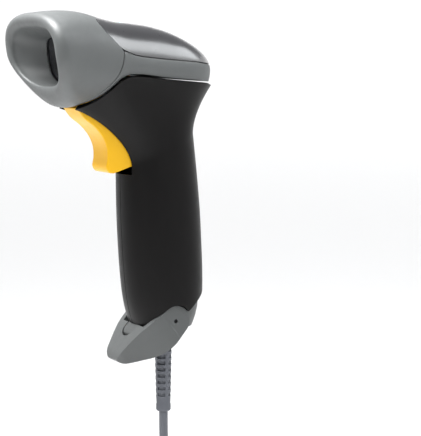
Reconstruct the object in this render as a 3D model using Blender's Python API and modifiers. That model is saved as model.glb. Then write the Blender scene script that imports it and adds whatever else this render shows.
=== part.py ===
"""Handheld barcode scanner: pistol grip, pull trigger, hinged foot and a coiled USB cable.

Metres, +Z up. The nose points to -Y, the scanner's left side is +X and the origin is the middle of the grip.
The head is drawn in its own frame (x, t, h), pitched nose-up: t runs back along the head, h runs up from it.
"""

import math

import bmesh
import bpy
import numpy as np
from mathutils import Vector

MM = 0.001
GAP, COVER_GAP, SHELL_GAP, CAP_GAP, SEAM_GAP = 0.3 * MM, 0.5 * MM, 0.75 * MM, 0.8 * MM, 0.44 * MM


def mm(values):
    """Millimetres to metres."""
    return np.array(values, float) * MM


# Head: the origin of its frame, its pitch, and its outline as (t, value) pairs
HEAD_ORIGIN = (0, 0, 70 * MM)
HEAD_PITCH = math.radians(6)
NOSE_HALF_WIDTH = mm([(-66, 34.2), (-60, 32.6), (-54, 30.2), (-48, 27.9), (-42, 26.0), (-34, 24.2),
                      (-26, 23.1), (-14, 22.6), (-2, 22.3)])
REAR_ROUND_START, REAR_END, REAR_POWER = -2 * MM, 27.8 * MM, 2.15
CREST = mm([(-66, 18.2), (-60, 19.8), (-52, 21.0), (-44, 21.0), (-36, 19.8), (-28, 18.9), (-18, 18.9),
            (-8, 18.6), (2, 17.0), (10, 14.6), (18, 11.2), (24, 7.4), (27.8, 4.0)])
KEEL = mm([(-66, 17.2), (-60, 20.0), (-54, 22.4), (-48, 23.8), (-42, 23.4), (-34, 21.5)])
CREST_POWER, KEEL_POWER = 2.5, 2.1

# Nose bumper: its front plane leans back below, its rear edge is (angle in degrees, t)
FRONT, FRONT_LEAN, FRONT_LEVEL = -65.5 * MM, 0.24, 3 * MM
CHIN_BACK, CHIN_DEPTH = 6.0 * MM, 24 * MM
BUMPER_EDGE = [(-90, -46.6), (-75, -45.2), (-60, -41.6), (-45, -36.6), (-30, -32.8), (-15, -29.9),
               (2, -28.4), (10, -28.7), (20, -33.0), (34, -37.8), (52, -40.6), (70, -38.8), (90, -36.8)]
RIM_BACK, MOUTH_BACK, WINDOW_BACK = 5.0 * MM, 2.8 * MM, 16 * MM
MOUTH = (26.0 * MM, 11.9 * MM, 14.6 * MM, 3.0, 2.4)
THROAT = (17.5 * MM, 9.0 * MM, 12.5 * MM, 3.4, 2.8)
WINDOW_FACES, GASKET_FACES = (16.8 * MM, 18.2 * MM), (18.5 * MM, 19.6 * MM)
ENGINE_FRONT = -42.4
WALL = 2.0 * MM

# Side band: top and bottom edge as (t, h), and the lip it runs forward under the bumper
BAND_TOP = mm([(-28, 4.6), (-22, 3.2), (-14, 2.9), (0, 3.1), (14, 3.4), (27.8, 3.2)])
BAND_BOTTOM = mm([(-41.0, -20.6), (-35.2, -16.8), (-31.4, -12.2), (-28.6, -8.6), (-25.2, -6.2), (-20, -5.2),
                  (-4, -5.2), (14, -4.9), (27.8, -4.6)])
BAND_TIP_ANGLE = -61
COVER_CORNER = -26.5 * MM
COVER_SPINE = (-20 * MM, 14 * MM)

# Grip: (z, half width, front y, rear y) of its oval sections, and how it flares into the head
GRIP = mm([(-62, 12.6, -6.6, 15.2), (-57, 14.3, -9.6, 17.8), (-50, 15.2, -12.2, 20.6), (-42, 15.8, -13.9, 21.5),
           (-30, 16.2, -15.2, 21.6), (-15, 16.3, -16.2, 21.0), (0, 16.2, -16.8, 20.2), (15, 15.8, -17.0, 18.9),
           (28, 15.3, -17.2, 17.6), (44, 15.0, -18.6, 15.9)])
GRIP_POWER = 2.25
FLARE_FRONT_Z, FLARE_REAR_Z = 20 * MM, 42 * MM
FLARE_PULL_FRONT, FLARE_PULL_SIDE, FLARE_PULL_REAR = 40 * MM, 28 * MM, 15 * MM
UNDER_BUMPER = mm([(-45.9, -23.4), (-44.6, -22.8)])
GRIP_CUT = mm([(-14, -54.6), (-6, -54.2), (0, -52.5), (9, -48.4), (14, -44.2), (21.6, -37.6)])
CAP_FLOOR = ((-60.5 * MM, 0.82), (-62 * MM, 0.5))
CAP_ROOM, CAP_ROOM_FLOOR = mm([9.4, -3.0, 14.6]), -57.5 * MM
TONGUE = mm([(8, 4.2), (8, 6.9), (13, 7.0), (16.5, 6.5), (18.8, 5.9), (19.4, 5.2), (19.2, 4.4), (17, 4.2)])

# Trigger, its pin and its stroke; the switch that it presses
TRIGGER_PIN = (-29 * MM, 53 * MM)
TRIGGER_HALF_WIDTH = 8.2 * MM
TRIGGER_FACE = mm([(-45, 51), (-41.5, 46.4), (-36, 42), (-31.8, 37), (-29.6, 31.5), (-29.4, 26.5), (-30, 22.6),
                   (-28.6, 20.2), (-26, 19.8)])
TRIGGER_BACK = mm([(-17.5, 22.5), (-12, 23), (-3.9, 23.2), (-3.9, 26.8), (-12, 27.4), (-14.2, 31), (-14.2, 37.5),
                   (-20, 44.5), (-24.2, 50), (-24.6, 55), (-28, 57.6), (-33, 57.4), (-38.5, 54.8)])
SLOT = mm([(-54, 56), (-54, 44), (-34, 18.6), (-12, 18.6), (-12, 42), (-20, 60)])
SLOT_HALF_WIDTH = 8.8 * MM
SWITCH_Z, SPRING_Z = 25 * MM, 34 * MM
BOARD_Y, BOARD_THICK = 6.5 * MM, 1.6 * MM

# Foot: pivot, slope of its length, side outline in (distance to the toe, height) and half width along it
FOOT_PIVOT = (2.8 * MM, -53 * MM)
FOOT_SLOPE = math.radians(35.9)
FOOT_END_RADIUS = 7.5 * MM
FOOT_TOP = mm([(7.5, 7.6), (16.6, 6.7), (25.4, 4.5), (30.6, 2.6), (32.6, 0.6)])
FOOT_UNDER = mm([(31.6, -2.0), (28, -4.3), (24, -6.1), (18.1, -8.6), (13, -9.6), (6.6, -9.4), (2, -8.2)])
FOOT_HALF_WIDTH = mm([(-9, 16), (2, 16), (8, 15.4), (14, 13.7), (20, 11.3), (26, 8.8), (31, 6.6), (33.2, 4.4)])
FOOT_WALL = 2.2 * MM
CHEEK_INSIDE, CHEEK_ROOM, CHEEK_PLATE = 13.4 * MM, 0.45 * MM, 12.4 * MM
NOTCH_HALF_WIDTH, TONGUE_HALF_WIDTH, TONGUE_GAP = 5.4 * MM, 5.0 * MM, 0.5 * MM
FOOT_ROOF_START, NOTCH_END = 13.6 * MM, 21 * MM

# Screws that hold the two grip shells together, as (y, z)
SHELL_SCREWS = mm([(6.4, 52), (1, 12), (1, -14)])
BOSS_RADIUS, WELL_RADIUS, BOSS_MEETING = 3.1 * MM, 2.6 * MM, 9 * MM

# Cable: where it runs, then the coil that its unseen length is wound into
CABLE_RADIUS = 2.25 * MM
CABLE_Y = 4.2 * MM
BOOT_PROFILE = mm([(5.9, -56.3), (5.9, -57.2), (4.6, -57.3), (4.6, -60), (4.2, -71), (3.75, -92), (3.5, -97.2), (3.7, -97.8),
                   (3.7, -100.4), (3.2, -101)])
BOOT_BORE_RADIUS, BOOT_BORE_TOP = 2.6 * MM, -97 * MM
CABLE_ROUTE = mm([(0, 4.2, -97.6), (0, 4.2, -104), (0, 4.2, -111), (0, 4.2, -118), (0.3, 2.6, -125), (1.2, -1.8, -132),
                  (2.4, -8.2, -139), (3.5, -15.2, -146), (4.2, -21.4, -153), (4.5, -25.6, -161), (4.5, -27.3, -170.4)])
COIL_CENTRE = (0, 4.2 * MM, -189 * MM)
COIL_RADIUS, COIL_ROWS, COIL_LAYERS, COIL_STEPS = 25 * MM, 3, 4, 30
TAIL_ROUTE = mm([(9.4, -13.2, -185), (9.6, -13.6, -192), (9.6, -14.4, -200), (9.6, -15.4, -208), (9.6, -16.2, -216),
                 (9.6, -16.8, -224), (9.6, -17, -230)])
PLUG_TOP = -229.4 * MM

GREY, BLACK, GLOSS = (0.27, 0.28, 0.28), (0.014, 0.013, 0.013), (0.012, 0.012, 0.016)
YELLOW, STEEL, DARK = (0.85, 0.50, 0.015), (0.55, 0.55, 0.56), (0.02, 0.02, 0.022)
BOARD_GREEN, CABLE_GREY = (0.02, 0.12, 0.05), (0.20, 0.21, 0.22)


# ---------------------------------------------------------------- scene helpers

def clear_scene():
    for found in list(bpy.data.objects):
        bpy.data.objects.remove(found, do_unlink=True)


def make_collection(name):
    made = bpy.data.collections.new(name)
    bpy.context.scene.collection.children.link(made)
    return made


clear_scene()
PARTS = make_collection("barcode_scanner")
CUTTERS = make_collection("cutters")


def make_material(name, colour, roughness, metallic=0.0):
    made = bpy.data.materials.new(name)
    made.use_nodes = True
    shader = made.node_tree.nodes["Principled BSDF"]
    shader.inputs["Base Color"].default_value = (*colour, 1)
    shader.inputs["Roughness"].default_value = roughness
    shader.inputs["Metallic"].default_value = metallic
    made.diffuse_color = (*colour, 1)
    return made


def add_empty(name, location, pitch=0.0):
    made = bpy.data.objects.new(name, None)
    made.location = location
    made.rotation_euler.x = pitch
    PARTS.objects.link(made)
    return made


HEAD = add_empty("head_frame", HEAD_ORIGIN, -HEAD_PITCH)


def add_mesh(name, mesh, look=None, parent=None, location=(0, 0, 0), pitch=0.0):
    """An object for a part, or for a cutter when look is None."""
    made = bpy.data.objects.new(name, mesh)
    made.location = location
    made.rotation_euler.x = pitch
    made.parent = parent
    if look is None:
        CUTTERS.objects.link(made)
        made.hide_render = True
        made.display_type = "WIRE"
        return made
    PARTS.objects.link(made)
    mesh.materials.append(make_material(name, *look))
    return made


def mesh_from(name, bm, smooth=True):
    bmesh.ops.recalc_face_normals(bm, faces=bm.faces)
    mesh = bpy.data.meshes.new(name)
    bm.to_mesh(mesh)
    bm.free()
    if smooth:
        mesh.shade_smooth()
        mesh.set_sharp_from_angle(angle=math.radians(35))
    return mesh


def grid_mesh(name, rows, closed=False, cap_ends=False):
    """A surface through rows of points; closed joins each row's ends, cap_ends fills the first and last row."""
    bm = bmesh.new()
    lines = [[bm.verts.new(point) for point in row] for row in rows]
    for low, high in zip(lines, lines[1:]):
        for i in range(len(low) if closed else len(low) - 1):
            j = (i + 1) % len(low)
            bm.faces.new((low[i], low[j], high[j], high[i]))
    if cap_ends:
        bm.faces.new(lines[0])
        bm.faces.new(lines[-1])
    bmesh.ops.remove_doubles(bm, verts=bm.verts, dist=0.02 * MM)
    return mesh_from(name, bm)


def box_mesh(name, size, centre=(0, 0, 0)):
    bm = bmesh.new()
    bmesh.ops.create_cube(bm, size=1)
    bmesh.ops.scale(bm, vec=size, verts=bm.verts)
    bmesh.ops.translate(bm, vec=centre, verts=bm.verts)
    return mesh_from(name, bm, smooth=False)


def cylinder_mesh(name, rods, segments=24):
    """Round rods in one mesh, each as (radius, from, to), where from and to are points."""
    bm = bmesh.new()
    for radius, start, end in rods:
        start, end = Vector(start), Vector(end)
        turn = (end - start).to_track_quat("Z", "Y").to_matrix()
        made = bmesh.ops.create_cone(bm, cap_ends=True, segments=segments, radius1=radius, radius2=radius,
                                     depth=(end - start).length)["verts"]
        bmesh.ops.rotate(bm, verts=made, matrix=turn)
        bmesh.ops.translate(bm, verts=made, vec=(start + end) / 2)
    return mesh_from(name, bm)


def prism_mesh(name, pairs):
    """Closed prisms in one mesh, each between two rings with the same number of points."""
    bm = bmesh.new()
    for pair in pairs:
        first, last = [[bm.verts.new(point) for point in ring] for ring in pair]
        bm.faces.new(first)
        bm.faces.new(last)
        for i in range(len(first)):
            j = (i + 1) % len(first)
            bm.faces.new((first[i], first[j], last[j], last[i]))
    return mesh_from(name, bm, smooth=False)


def curve_mesh(name, curve):
    """The closed mesh of a curve, with its caps welded on."""
    holder = bpy.data.objects.new(name + "_curve", curve)
    bpy.context.scene.collection.objects.link(holder)
    bpy.context.view_layer.update()
    evaluated = holder.evaluated_get(bpy.context.evaluated_depsgraph_get())
    mesh = bpy.data.meshes.new_from_object(evaluated)
    mesh.name = name
    bpy.data.objects.remove(holder)
    bm = bmesh.new()
    bm.from_mesh(mesh)
    bmesh.ops.remove_doubles(bm, verts=bm.verts, dist=0.01 * MM)
    bmesh.ops.recalc_face_normals(bm, faces=bm.faces)
    bm.to_mesh(mesh)
    bm.free()
    return mesh


def outline_mesh(name, outline, half_thickness):
    """A flat closed outline in (y, z), extruded both ways along X."""
    curve = bpy.data.curves.new(name, "CURVE")
    curve.dimensions = "2D"
    curve.fill_mode = "BOTH"
    curve.extrude = half_thickness
    spline = curve.splines.new("POLY")
    spline.points.add(len(outline) - 1)
    for point, (y, z) in zip(spline.points, outline):
        point.co = (y, z, 0, 1)
    spline.use_cyclic_u = True
    mesh = curve_mesh(name, curve)
    # The curve lies in XY and is thick along Z: turn it so that it lies in YZ and is thick along X.
    for vertex in mesh.vertices:
        across, up, thick = vertex.co
        vertex.co = (thick, across, up)
    mesh.materials.clear()
    return mesh


def tube_curve(name, points, radius):
    """A round tube through the points, with filled ends."""
    curve = bpy.data.curves.new(name, "CURVE")
    curve.dimensions = "3D"
    curve.bevel_depth = radius
    curve.bevel_resolution = 2
    curve.use_fill_caps = True
    spline = curve.splines.new("POLY")
    spline.points.add(len(points) - 1)
    for point, place in zip(spline.points, points):
        point.co = (*place, 1)
    return curve


def turned(name, profile, look, location=(0, 0, 0), steps=24, parent=None):
    """A solid turned about Z from an open profile of (radius, z), which starts and ends on the axis or closes."""
    bm = bmesh.new()
    line = [bm.verts.new((radius, 0, z)) for radius, z in profile]
    for a, b in zip(line, line[1:]):
        bm.edges.new((a, b))
    mesh = bpy.data.meshes.new(name)
    bm.to_mesh(mesh)
    bm.free()
    made = add_mesh(name, mesh, look, parent, location)
    screw = made.modifiers.new("turn", "SCREW")
    screw.axis = "Z"
    screw.steps = screw.render_steps = steps
    screw.use_merge_vertices = True
    screw.merge_threshold = 0.00001
    return made


def modifier(target, kind, name, **settings):
    made = target.modifiers.new(name, kind)
    for key, value in settings.items():
        setattr(made, key, value)
    return made


def thicken(target, thickness=WALL):
    modifier(target, "SOLIDIFY", "wall", thickness=thickness, offset=-1, use_even_offset=True)


def round_edges(target, width, segments=2, angle=50):
    modifier(target, "BEVEL", "edges", width=width, segments=segments, limit_method="ANGLE",
             angle_limit=math.radians(angle))


def mirror(target):
    modifier(target, "MIRROR", "halves", merge_threshold=0.00001)


def cut(target, cutter):
    modifier(target, "BOOLEAN", "cut " + cutter.name, operation="DIFFERENCE", object=cutter)


def join(target, other):
    modifier(target, "BOOLEAN", "join " + other.name, operation="UNION", object=other)


def keep_common(target, other):
    modifier(target, "BOOLEAN", "keep " + other.name, operation="INTERSECT", object=other)


# ---------------------------------------------------------------- shape functions

def through(points, at):
    """A smooth value at each place, through (place, value) points."""
    x, y = np.asarray(points, float).T
    slope = np.diff(y) / np.diff(x)
    m = np.concatenate([slope[:1], (slope[1:] + slope[:-1]) / 2, slope[-1:]])
    at = np.clip(at, x[0], x[-1])
    i = np.clip(np.searchsorted(x, at) - 1, 0, len(x) - 2)
    w = x[i + 1] - x[i]
    s = (at - x[i]) / w
    start, end = (1 + 2 * s) * (1 - s) ** 2, s * s * (3 - 2 * s)
    return y[i] * start + y[i + 1] * end + w * (m[i] * s * (1 - s) ** 2 - m[i + 1] * s * s * (1 - s))


def smooth_line(points, count):
    """That many points along a smooth curve through the points, evenly spaced."""
    points = np.asarray(points, float)
    steps = np.linalg.norm(np.diff(points, axis=0), axis=1)
    place = np.concatenate([[0], np.cumsum(steps)])
    fine = np.linspace(0, place[-1], count * 12)
    dense = np.stack([through(np.c_[place, column], fine) for column in points.T], 1)
    run = np.concatenate([[0], np.cumsum(np.linalg.norm(np.diff(dense, axis=0), axis=1))])
    even = np.linspace(0, run[-1], count)
    return np.stack([np.interp(even, run, column) for column in dense.T], 1)


def half_width(t):
    """Half the head's width at station t; the rear end is round in plan."""
    t = np.asarray(t, float)
    turn = np.clip((t - REAR_ROUND_START) / (REAR_END - REAR_ROUND_START), 0, 1)
    rear = NOSE_HALF_WIDTH[-1, 1] * (1 - turn ** REAR_POWER) ** (1 / REAR_POWER)
    return np.where(t < REAR_ROUND_START, through(NOSE_HALF_WIDTH, t), rear)


def power(value, exponent):
    return np.sign(value) * np.abs(value) ** exponent


def head_ring(t, angle):
    """Points (x, t, h) of the head's skin at station t; angle 0 is the left side, 90 degrees the crest."""
    c, s = np.cos(angle), np.sin(angle)
    n = np.where(s > 0, CREST_POWER, KEEL_POWER)
    rise = np.where(s > 0, through(CREST, t), through(KEEL, t))
    return np.stack(np.broadcast_arrays(half_width(t) * power(c, 2 / n), t, rise * power(s, 2 / n)), -1)


def skin(t, h):
    """The left half's point (x, t, h) on the head's skin."""
    t, h = np.asarray(t, float), np.asarray(h, float)
    n = np.where(h > 0, CREST_POWER, KEEL_POWER)
    rise = np.where(h > 0, through(CREST, t), through(KEEL, t))
    share = np.clip(np.abs(h) / rise, 0, 1)
    return np.stack([half_width(t) * (1 - share ** n) ** (1 / n), t, h], -1)


def to_row(points):
    """Head frame to the object's frame."""
    x, t, h = np.moveaxis(np.asarray(points, float), -1, 0)
    c, s = math.cos(HEAD_PITCH), math.sin(HEAD_PITCH)
    return np.stack([x, t * c + h * s, HEAD_ORIGIN[2] - t * s + h * c], -1)


def front_plane(h):
    return FRONT - FRONT_LEAN * (h - FRONT_LEVEL)


def front_face(h):
    """Station of the bumper's front: the leaning plane, curving back below into the chin."""
    down = np.clip(-h / CHIN_DEPTH, 0, 1)
    return front_plane(h) + CHIN_BACK * (1 - np.cos(math.pi * down)) / 2


def bumper_edge(angle):
    """Station of the bumper's rear edge at an angle round the head."""
    folded = np.abs(np.arctan2(np.sin(angle), np.abs(np.cos(angle)))) * np.sign(np.sin(angle))
    return through(np.array(BUMPER_EDGE) * (math.radians(1), MM), folded)


def lens_ring(shape, angle, back):
    """A ring of the funnel: rounded shield, back from the front plane."""
    side, up, down, top_power, low_power = shape
    c, s = np.cos(angle), np.sin(angle)
    n = np.where(s > 0, top_power, low_power)
    h = np.where(s > 0, up, down) * power(s, 2 / n)
    return np.stack([side * power(c, 2 / n), front_plane(h) + back, h], -1)


def mouth_ring(angle):
    """The edge of the funnel's mouth, on the front face."""
    ring = lens_ring(MOUTH, angle, 0)
    ring[..., 1] = front_face(ring[..., 2]) + MOUTH_BACK
    return ring


def bumper_rows(around, along, roll, funnel):
    """Rows of the bumper from its rear edge, over the rolled rim and down the funnel to the window."""
    angle = np.linspace(-math.pi, math.pi, around, endpoint=False) + 0.5 * math.pi
    edge = bumper_edge(angle)
    reach = edge
    for _ in range(8):
        reach = front_face(head_ring(reach, angle)[..., 2]) + RIM_BACK
    rows = [head_ring(edge + (reach - edge) * f, angle) for f in np.linspace(0, 1, along)]
    mouth = mouth_ring(angle)
    crown = (RIM_BACK + MOUTH_BACK) / 2
    for f in np.linspace(0, 1, roll + 1)[1:]:
        point = rows[along - 1] + (mouth - rows[along - 1]) * (1 - math.cos(math.pi * f)) / 2
        depth = RIM_BACK + (MOUTH_BACK - RIM_BACK) * f - crown * math.sin(math.pi * f)
        point[..., 1] = front_face(point[..., 2]) + depth
        rows.append(point)
    throat = lens_ring(THROAT, angle, WINDOW_BACK)
    for f in np.linspace(0, 1, funnel + 1)[1:]:
        point = mouth + (throat - mouth) * f ** 1.25
        point[..., 1] = mouth[..., 1] + (throat[..., 1] - mouth[..., 1]) * f
        rows.append(point)
    return rows


def cover_edge(count):
    """The left half of the top cover's outline, from the front of the crest round to the rear."""
    corner = skin(COVER_CORNER, through(BAND_TOP, COVER_CORNER) + COVER_GAP)
    angle = np.radians(np.linspace(90, 14, 9))
    front = head_ring(bumper_edge(angle) + GAP, angle)
    front = front[front[:, 1] < corner[1] - 1.2 * MM]
    t = REAR_ROUND_START + (REAR_END - REAR_ROUND_START) * np.sin(np.radians(np.linspace(0, 90, 12))) ** (
        2 / REAR_POWER)
    t = np.concatenate([np.linspace(COVER_CORNER, REAR_ROUND_START, 8)[:-1], t])
    side = skin(t, through(BAND_TOP, t) + COVER_GAP)
    side[-1, 0] = 0
    return smooth_line(np.concatenate([front, side]), count)


def cover_rows(count, across):
    """Rows of the cover's left half, from its outline in to its spine."""
    edge = cover_edge(count)
    spine = np.clip(edge[:, 1], *COVER_SPINE)
    rows = []
    for f in np.linspace(1, 0, across):
        share = math.sin(f * math.pi / 2) ** (2 / CREST_POWER)
        x = edge[:, 0] * share
        t = spine + (edge[:, 1] - spine) * share
        ratio = np.clip(x / np.maximum(half_width(t), 1e-6), 0, 1)
        h = through(CREST, t) * (1 - ratio ** CREST_POWER) ** (1 / CREST_POWER)
        row = np.stack([x, t, h], -1)
        if f == 1:
            row[:, 2] = edge[:, 2]
        rows.append(row)
    return rows


def band_edges(front, back):
    """The left half of the band's two edges, top and bottom, from the tip of its lip to the rear."""
    angle = np.radians(np.linspace(BAND_TIP_ANGLE, 9.5, front))
    seam = head_ring(bumper_edge(angle) + GAP, angle)
    turn = np.linspace(0, 1, back)
    straight = back // 2
    t_top = np.concatenate([
        np.linspace(seam[-1, 1], REAR_ROUND_START, straight, endpoint=False),
        REAR_ROUND_START + (REAR_END - REAR_ROUND_START)
        * np.sin(np.linspace(0, math.pi / 2, back - straight)) ** (2 / REAR_POWER),
    ])
    top = skin(t_top, through(BAND_TOP, t_top))
    lip = np.linspace(BAND_BOTTOM[0, 0], -25.5 * MM, front)
    t_low = t_top + (-25.5 * MM - t_top[0]) * (1 - turn) ** 2
    t_low[-1] = REAR_END
    low_t = np.concatenate([lip, t_low[1:]])
    low = skin(low_t, through(BAND_BOTTOM, low_t))
    upper = np.concatenate([seam, top[1:]])
    upper[-1, 0] = low[-1, 0] = 0
    return upper, low


def band_rows(front, back, across, bulge=0.35 * MM):
    upper, low = band_edges(front, back)
    rows = []
    for f in np.linspace(0, 1, across):
        row = low + (upper - low) * f
        outward = np.stack([row[:, 0] / 22, np.maximum(row[:, 1], 0) / 28, 0 * row[:, 0]], -1) / MM
        swell = bulge * 4 * f * (1 - f)
        if f not in (0, 1):
            row[:, 0] = np.maximum(row[:, 0], skin(row[:, 1], row[:, 2])[:, 0] * (row[:, 0] > 0))
        rows.append(row + outward * swell)
    return rows


def grip_section(z, angle):
    """A point of the grip's oval at height z; angle 0 is the left side, -90 degrees the front."""
    wide, front, rear = (through(GRIP[:, [0, k]], z) for k in (1, 2, 3))
    c, s = power(np.cos(angle), 2 / GRIP_POWER), power(np.sin(angle), 2 / GRIP_POWER)
    return np.stack(np.broadcast_arrays(wide * c, (front + rear) / 2 + (rear - front) / 2 * s, z), -1)


def shell_rim(count):
    """The grip shell's top edge on the left, from the front under the bumper to the rear under the band."""
    low = BAND_BOTTOM - (0, SHELL_GAP)
    points = np.concatenate([UNDER_BUMPER, low])
    on_skin = skin(points[:, 0], points[:, 1])
    on_skin[:2, 0] = (0, 7.5 * MM)
    turn = np.linspace(0, math.pi / 2, 9)[1:]
    t = REAR_ROUND_START + (REAR_END - REAR_ROUND_START) * np.sin(turn) ** (2 / REAR_POWER)
    rear = skin(t, through(low, t))
    rear[-1, 0] = 0
    keep = on_skin[:, 1] < REAR_ROUND_START
    line = np.concatenate([on_skin[keep], rear])
    inset = 0.6 * MM
    line[:, 0] = np.maximum(line[:, 0] - inset, 0)
    line[-1, 1] -= inset
    return smooth_line(to_row(line), count)


def shell_rows(count, low, high):
    """Rows of the grip shell's left half from the cut above the cap to the rim under the head."""
    rim = shell_rim(count)
    rise = np.linspace(0, 1, count)
    angle = (rise - 0.5) * math.pi
    neck_z = FLARE_FRONT_Z + (FLARE_REAR_Z - FLARE_FRONT_Z) * rise ** 1.2
    neck = grip_section(neck_z, angle)
    foot_y = grip_section(np.full(count, -50 * MM), angle)[:, 1]
    cut_z = through(GRIP_CUT, foot_y)
    rows = [grip_section(cut_z + (neck_z - cut_z) * f, angle) for f in np.linspace(0, 1, low)]
    side = np.sin(rise * math.pi)
    pull = np.where(rise < 0.5, FLARE_PULL_FRONT, FLARE_PULL_REAR)
    pull = pull + (FLARE_PULL_SIDE - pull) * side
    start = np.stack([0 * rise, 0 * rise, pull], -1)
    out = np.stack([0.32 * side, -0.97 * np.clip(1 - 2 * rise, 0, 1) + 0.72 * np.clip(2 * rise - 1, 0, 1) ** 2,
                    0.9 * side + 0.05 + 0.6 * np.clip(2 * rise - 1, 0, 1) ** 2], -1)
    end = out / np.linalg.norm(out, axis=1, keepdims=True) * pull[:, None]
    for f in np.linspace(0, 1, high + 1)[1:]:
        rows.append(neck * (1 + 2 * f) * (1 - f) ** 2 + rim * f * f * (3 - 2 * f)
                    + start * f * (1 - f) ** 2 - end * f * f * (1 - f))
    half_gap = SEAM_GAP / 2
    for row in rows:
        row[:, 0] = np.maximum(row[:, 0], half_gap)
    return rows


# ---------------------------------------------------------------- casings

def make_bumper():
    mesh = grid_mesh("nose_bumper", bumper_rows(40, 4, 4, 2), closed=True)
    bumper = add_mesh("nose_bumper", mesh, (GREY, 0.55), HEAD)
    thicken(bumper)
    return bumper


def make_cover():
    cover = add_mesh("top_cover", grid_mesh("top_cover", cover_rows(24, 6)), (GLOSS, 0.12), HEAD)
    mirror(cover)
    thicken(cover, 1.8 * MM)
    hole = cylinder_mesh("lens_hole", [(3.2 * MM, mm((0, -21, 14)), mm((0, -21, 24)))])
    cut(cover, add_mesh("lens_hole", hole, parent=HEAD))
    t = np.linspace(COVER_CORNER - 0.5 * MM, REAR_END, 14)
    below = np.concatenate([np.c_[t, through(BAND_TOP, t) + GAP], mm([(40, 3.5), (40, -30), (-27, -30)])])
    cut(cover, add_mesh("below_cover", outline_mesh("below_cover", below, 40 * MM), parent=HEAD))


def make_band():
    band = add_mesh("side_band", grid_mesh("side_band", band_rows(8, 16, 3)), (GREY, 0.55), HEAD)
    mirror(band)
    thicken(band, 1.6 * MM)


def screw_axis(side, y, z, start, end):
    return (side * start, y, z), (side * end, y, z)


def make_shell(name, side):
    """One half of the grip: left has the screw bosses, right has the screw wells."""
    rows = [row * (side, 1, 1) for row in shell_rows(18, 6, 7)]
    shell = add_mesh(name, grid_mesh(name, rows), (BLACK, 0.32))
    thicken(shell)
    inner = -BOSS_MEETING if side > 0 else BOSS_MEETING + GAP
    bosses = [(BOSS_RADIUS, *screw_axis(side, y, z, 14.8 * MM, inner)) for y, z in SHELL_SCREWS]
    pin_y, pin_z = TRIGGER_PIN
    bosses.append((2.6 * MM, *screw_axis(side, pin_y, pin_z, 9.2 * MM, 15.6 * MM)))
    join(shell, add_mesh(name + "_bosses", cylinder_mesh(name + "_bosses", bosses, 16)))
    holes = [(1.6 * MM, *screw_axis(side, pin_y, pin_z, 8 * MM, 14.6 * MM))]
    first, last = (12.4 * MM, -20 * MM) if side > 0 else (5 * MM, 14 * MM)
    holes += [(1.5 * MM, *screw_axis(side, y, z, first, last)) for y, z in SHELL_SCREWS]
    cut(shell, add_mesh(name + "_holes", cylinder_mesh(name + "_holes", holes, 16)))
    if side < 0:
        wells = [(WELL_RADIUS, *screw_axis(side, y, z, 13 * MM - GAP, 20 * MM)) for y, z in SHELL_SCREWS]
        cut(shell, add_mesh("screw_wells", cylinder_mesh("screw_wells", wells, 16)))
    cut(shell, SLOT_CUTTER)
    cut(shell, CHEEK_CUTTER)


def foot_outline(grow=0.0):
    """Side outline of the foot in (distance to the toe, height), with the round end about the pivot."""
    turn = np.radians(np.linspace(-100, -262, 11))
    end = (FOOT_END_RADIUS + grow) * np.stack([np.cos(turn), np.sin(turn)], -1)
    body = smooth_line(np.concatenate([FOOT_TOP, FOOT_UNDER]), 18)
    away = body - (15 * MM, -1 * MM)
    body = body + away / np.linalg.norm(away, axis=1, keepdims=True) * grow
    return np.concatenate([end, body])


def foot_plan(shrink=0.0, reach=0.0):
    """Plan outline of the foot, in (x, distance to the toe)."""
    s, w = FOOT_HALF_WIDTH.T
    line = np.stack([w - shrink, s + reach], -1)
    return np.concatenate([line, line[::-1] * (-1, 1)])


def foot_prism(name, outline, half):
    """A prism of the foot's side outline, in the foot's own frame: the toe lies along -Y."""
    return outline_mesh(name, [(-s, n) for s, n in outline], half)


def plan_prism(name, plan, low, high):
    """A prism of a plan outline, from low to high in the foot's own frame."""
    return prism_mesh(name, [[[(x, -s, z) for x, s in plan] for z in (low, high)]])


def at_foot(name, mesh, look=None):
    """A piece or a cutter in the foot's own frame, whose origin is the pivot."""
    return add_mesh(name, mesh, look, location=(0, *FOOT_PIVOT), pitch=FOOT_SLOPE)


def make_foot():
    foot = at_foot("foot", foot_prism("foot", foot_outline(), 20 * MM), (GREY, 0.55))
    keep_common(foot, at_foot("foot_plan", plan_prism("foot_plan", foot_plan(), -20 * MM, 20 * MM)))
    top = smooth_line(FOOT_TOP[:-1], 8) - (0, FOOT_WALL)
    hollow = [(-12 * MM, -20 * MM), (-12 * MM, 20 * MM), (FOOT_ROOF_START, 20 * MM),
              (FOOT_ROOF_START, through(top, FOOT_ROOF_START))]
    hollow += [(s, n) for s, n in top if FOOT_ROOF_START < s < 29 * MM] + [(29.4 * MM, -1 * MM), (27 * MM, -20 * MM)]
    inside = at_foot("foot_hollow", foot_prism("foot_hollow", hollow, 20 * MM))
    narrow = foot_plan(shrink=16 * MM - CHEEK_INSIDE, reach=-1.6 * MM)
    narrow[[0, -1], 1] = -14 * MM
    keep_common(inside, at_foot("hollow_plan", plan_prism("hollow_plan", narrow, -30 * MM, 30 * MM)))
    cut(foot, inside)
    notch = notch_outline(NOTCH_HALF_WIDTH, NOTCH_END)
    cut(foot, at_foot("foot_notch", plan_prism("foot_notch", notch, 0, 20 * MM)))
    bore = [(1.2 * MM, (-20 * MM, 0, 0), (20 * MM, 0, 0))]
    cut(foot, at_foot("foot_bore", cylinder_mesh("foot_bore", bore, 16)))
    for side, word in ((1, "left"), (-1, "right")):
        name = "foot_pin_" + word
        pin = cylinder_mesh(name, [(0.9 * MM, (side * 9.6 * MM, 0, 0), (side * 15.2 * MM, 0, 0))], 16)
        add_mesh(name, pin, (DARK, 0.4, 0.8), location=(0, *FOOT_PIVOT))


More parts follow.
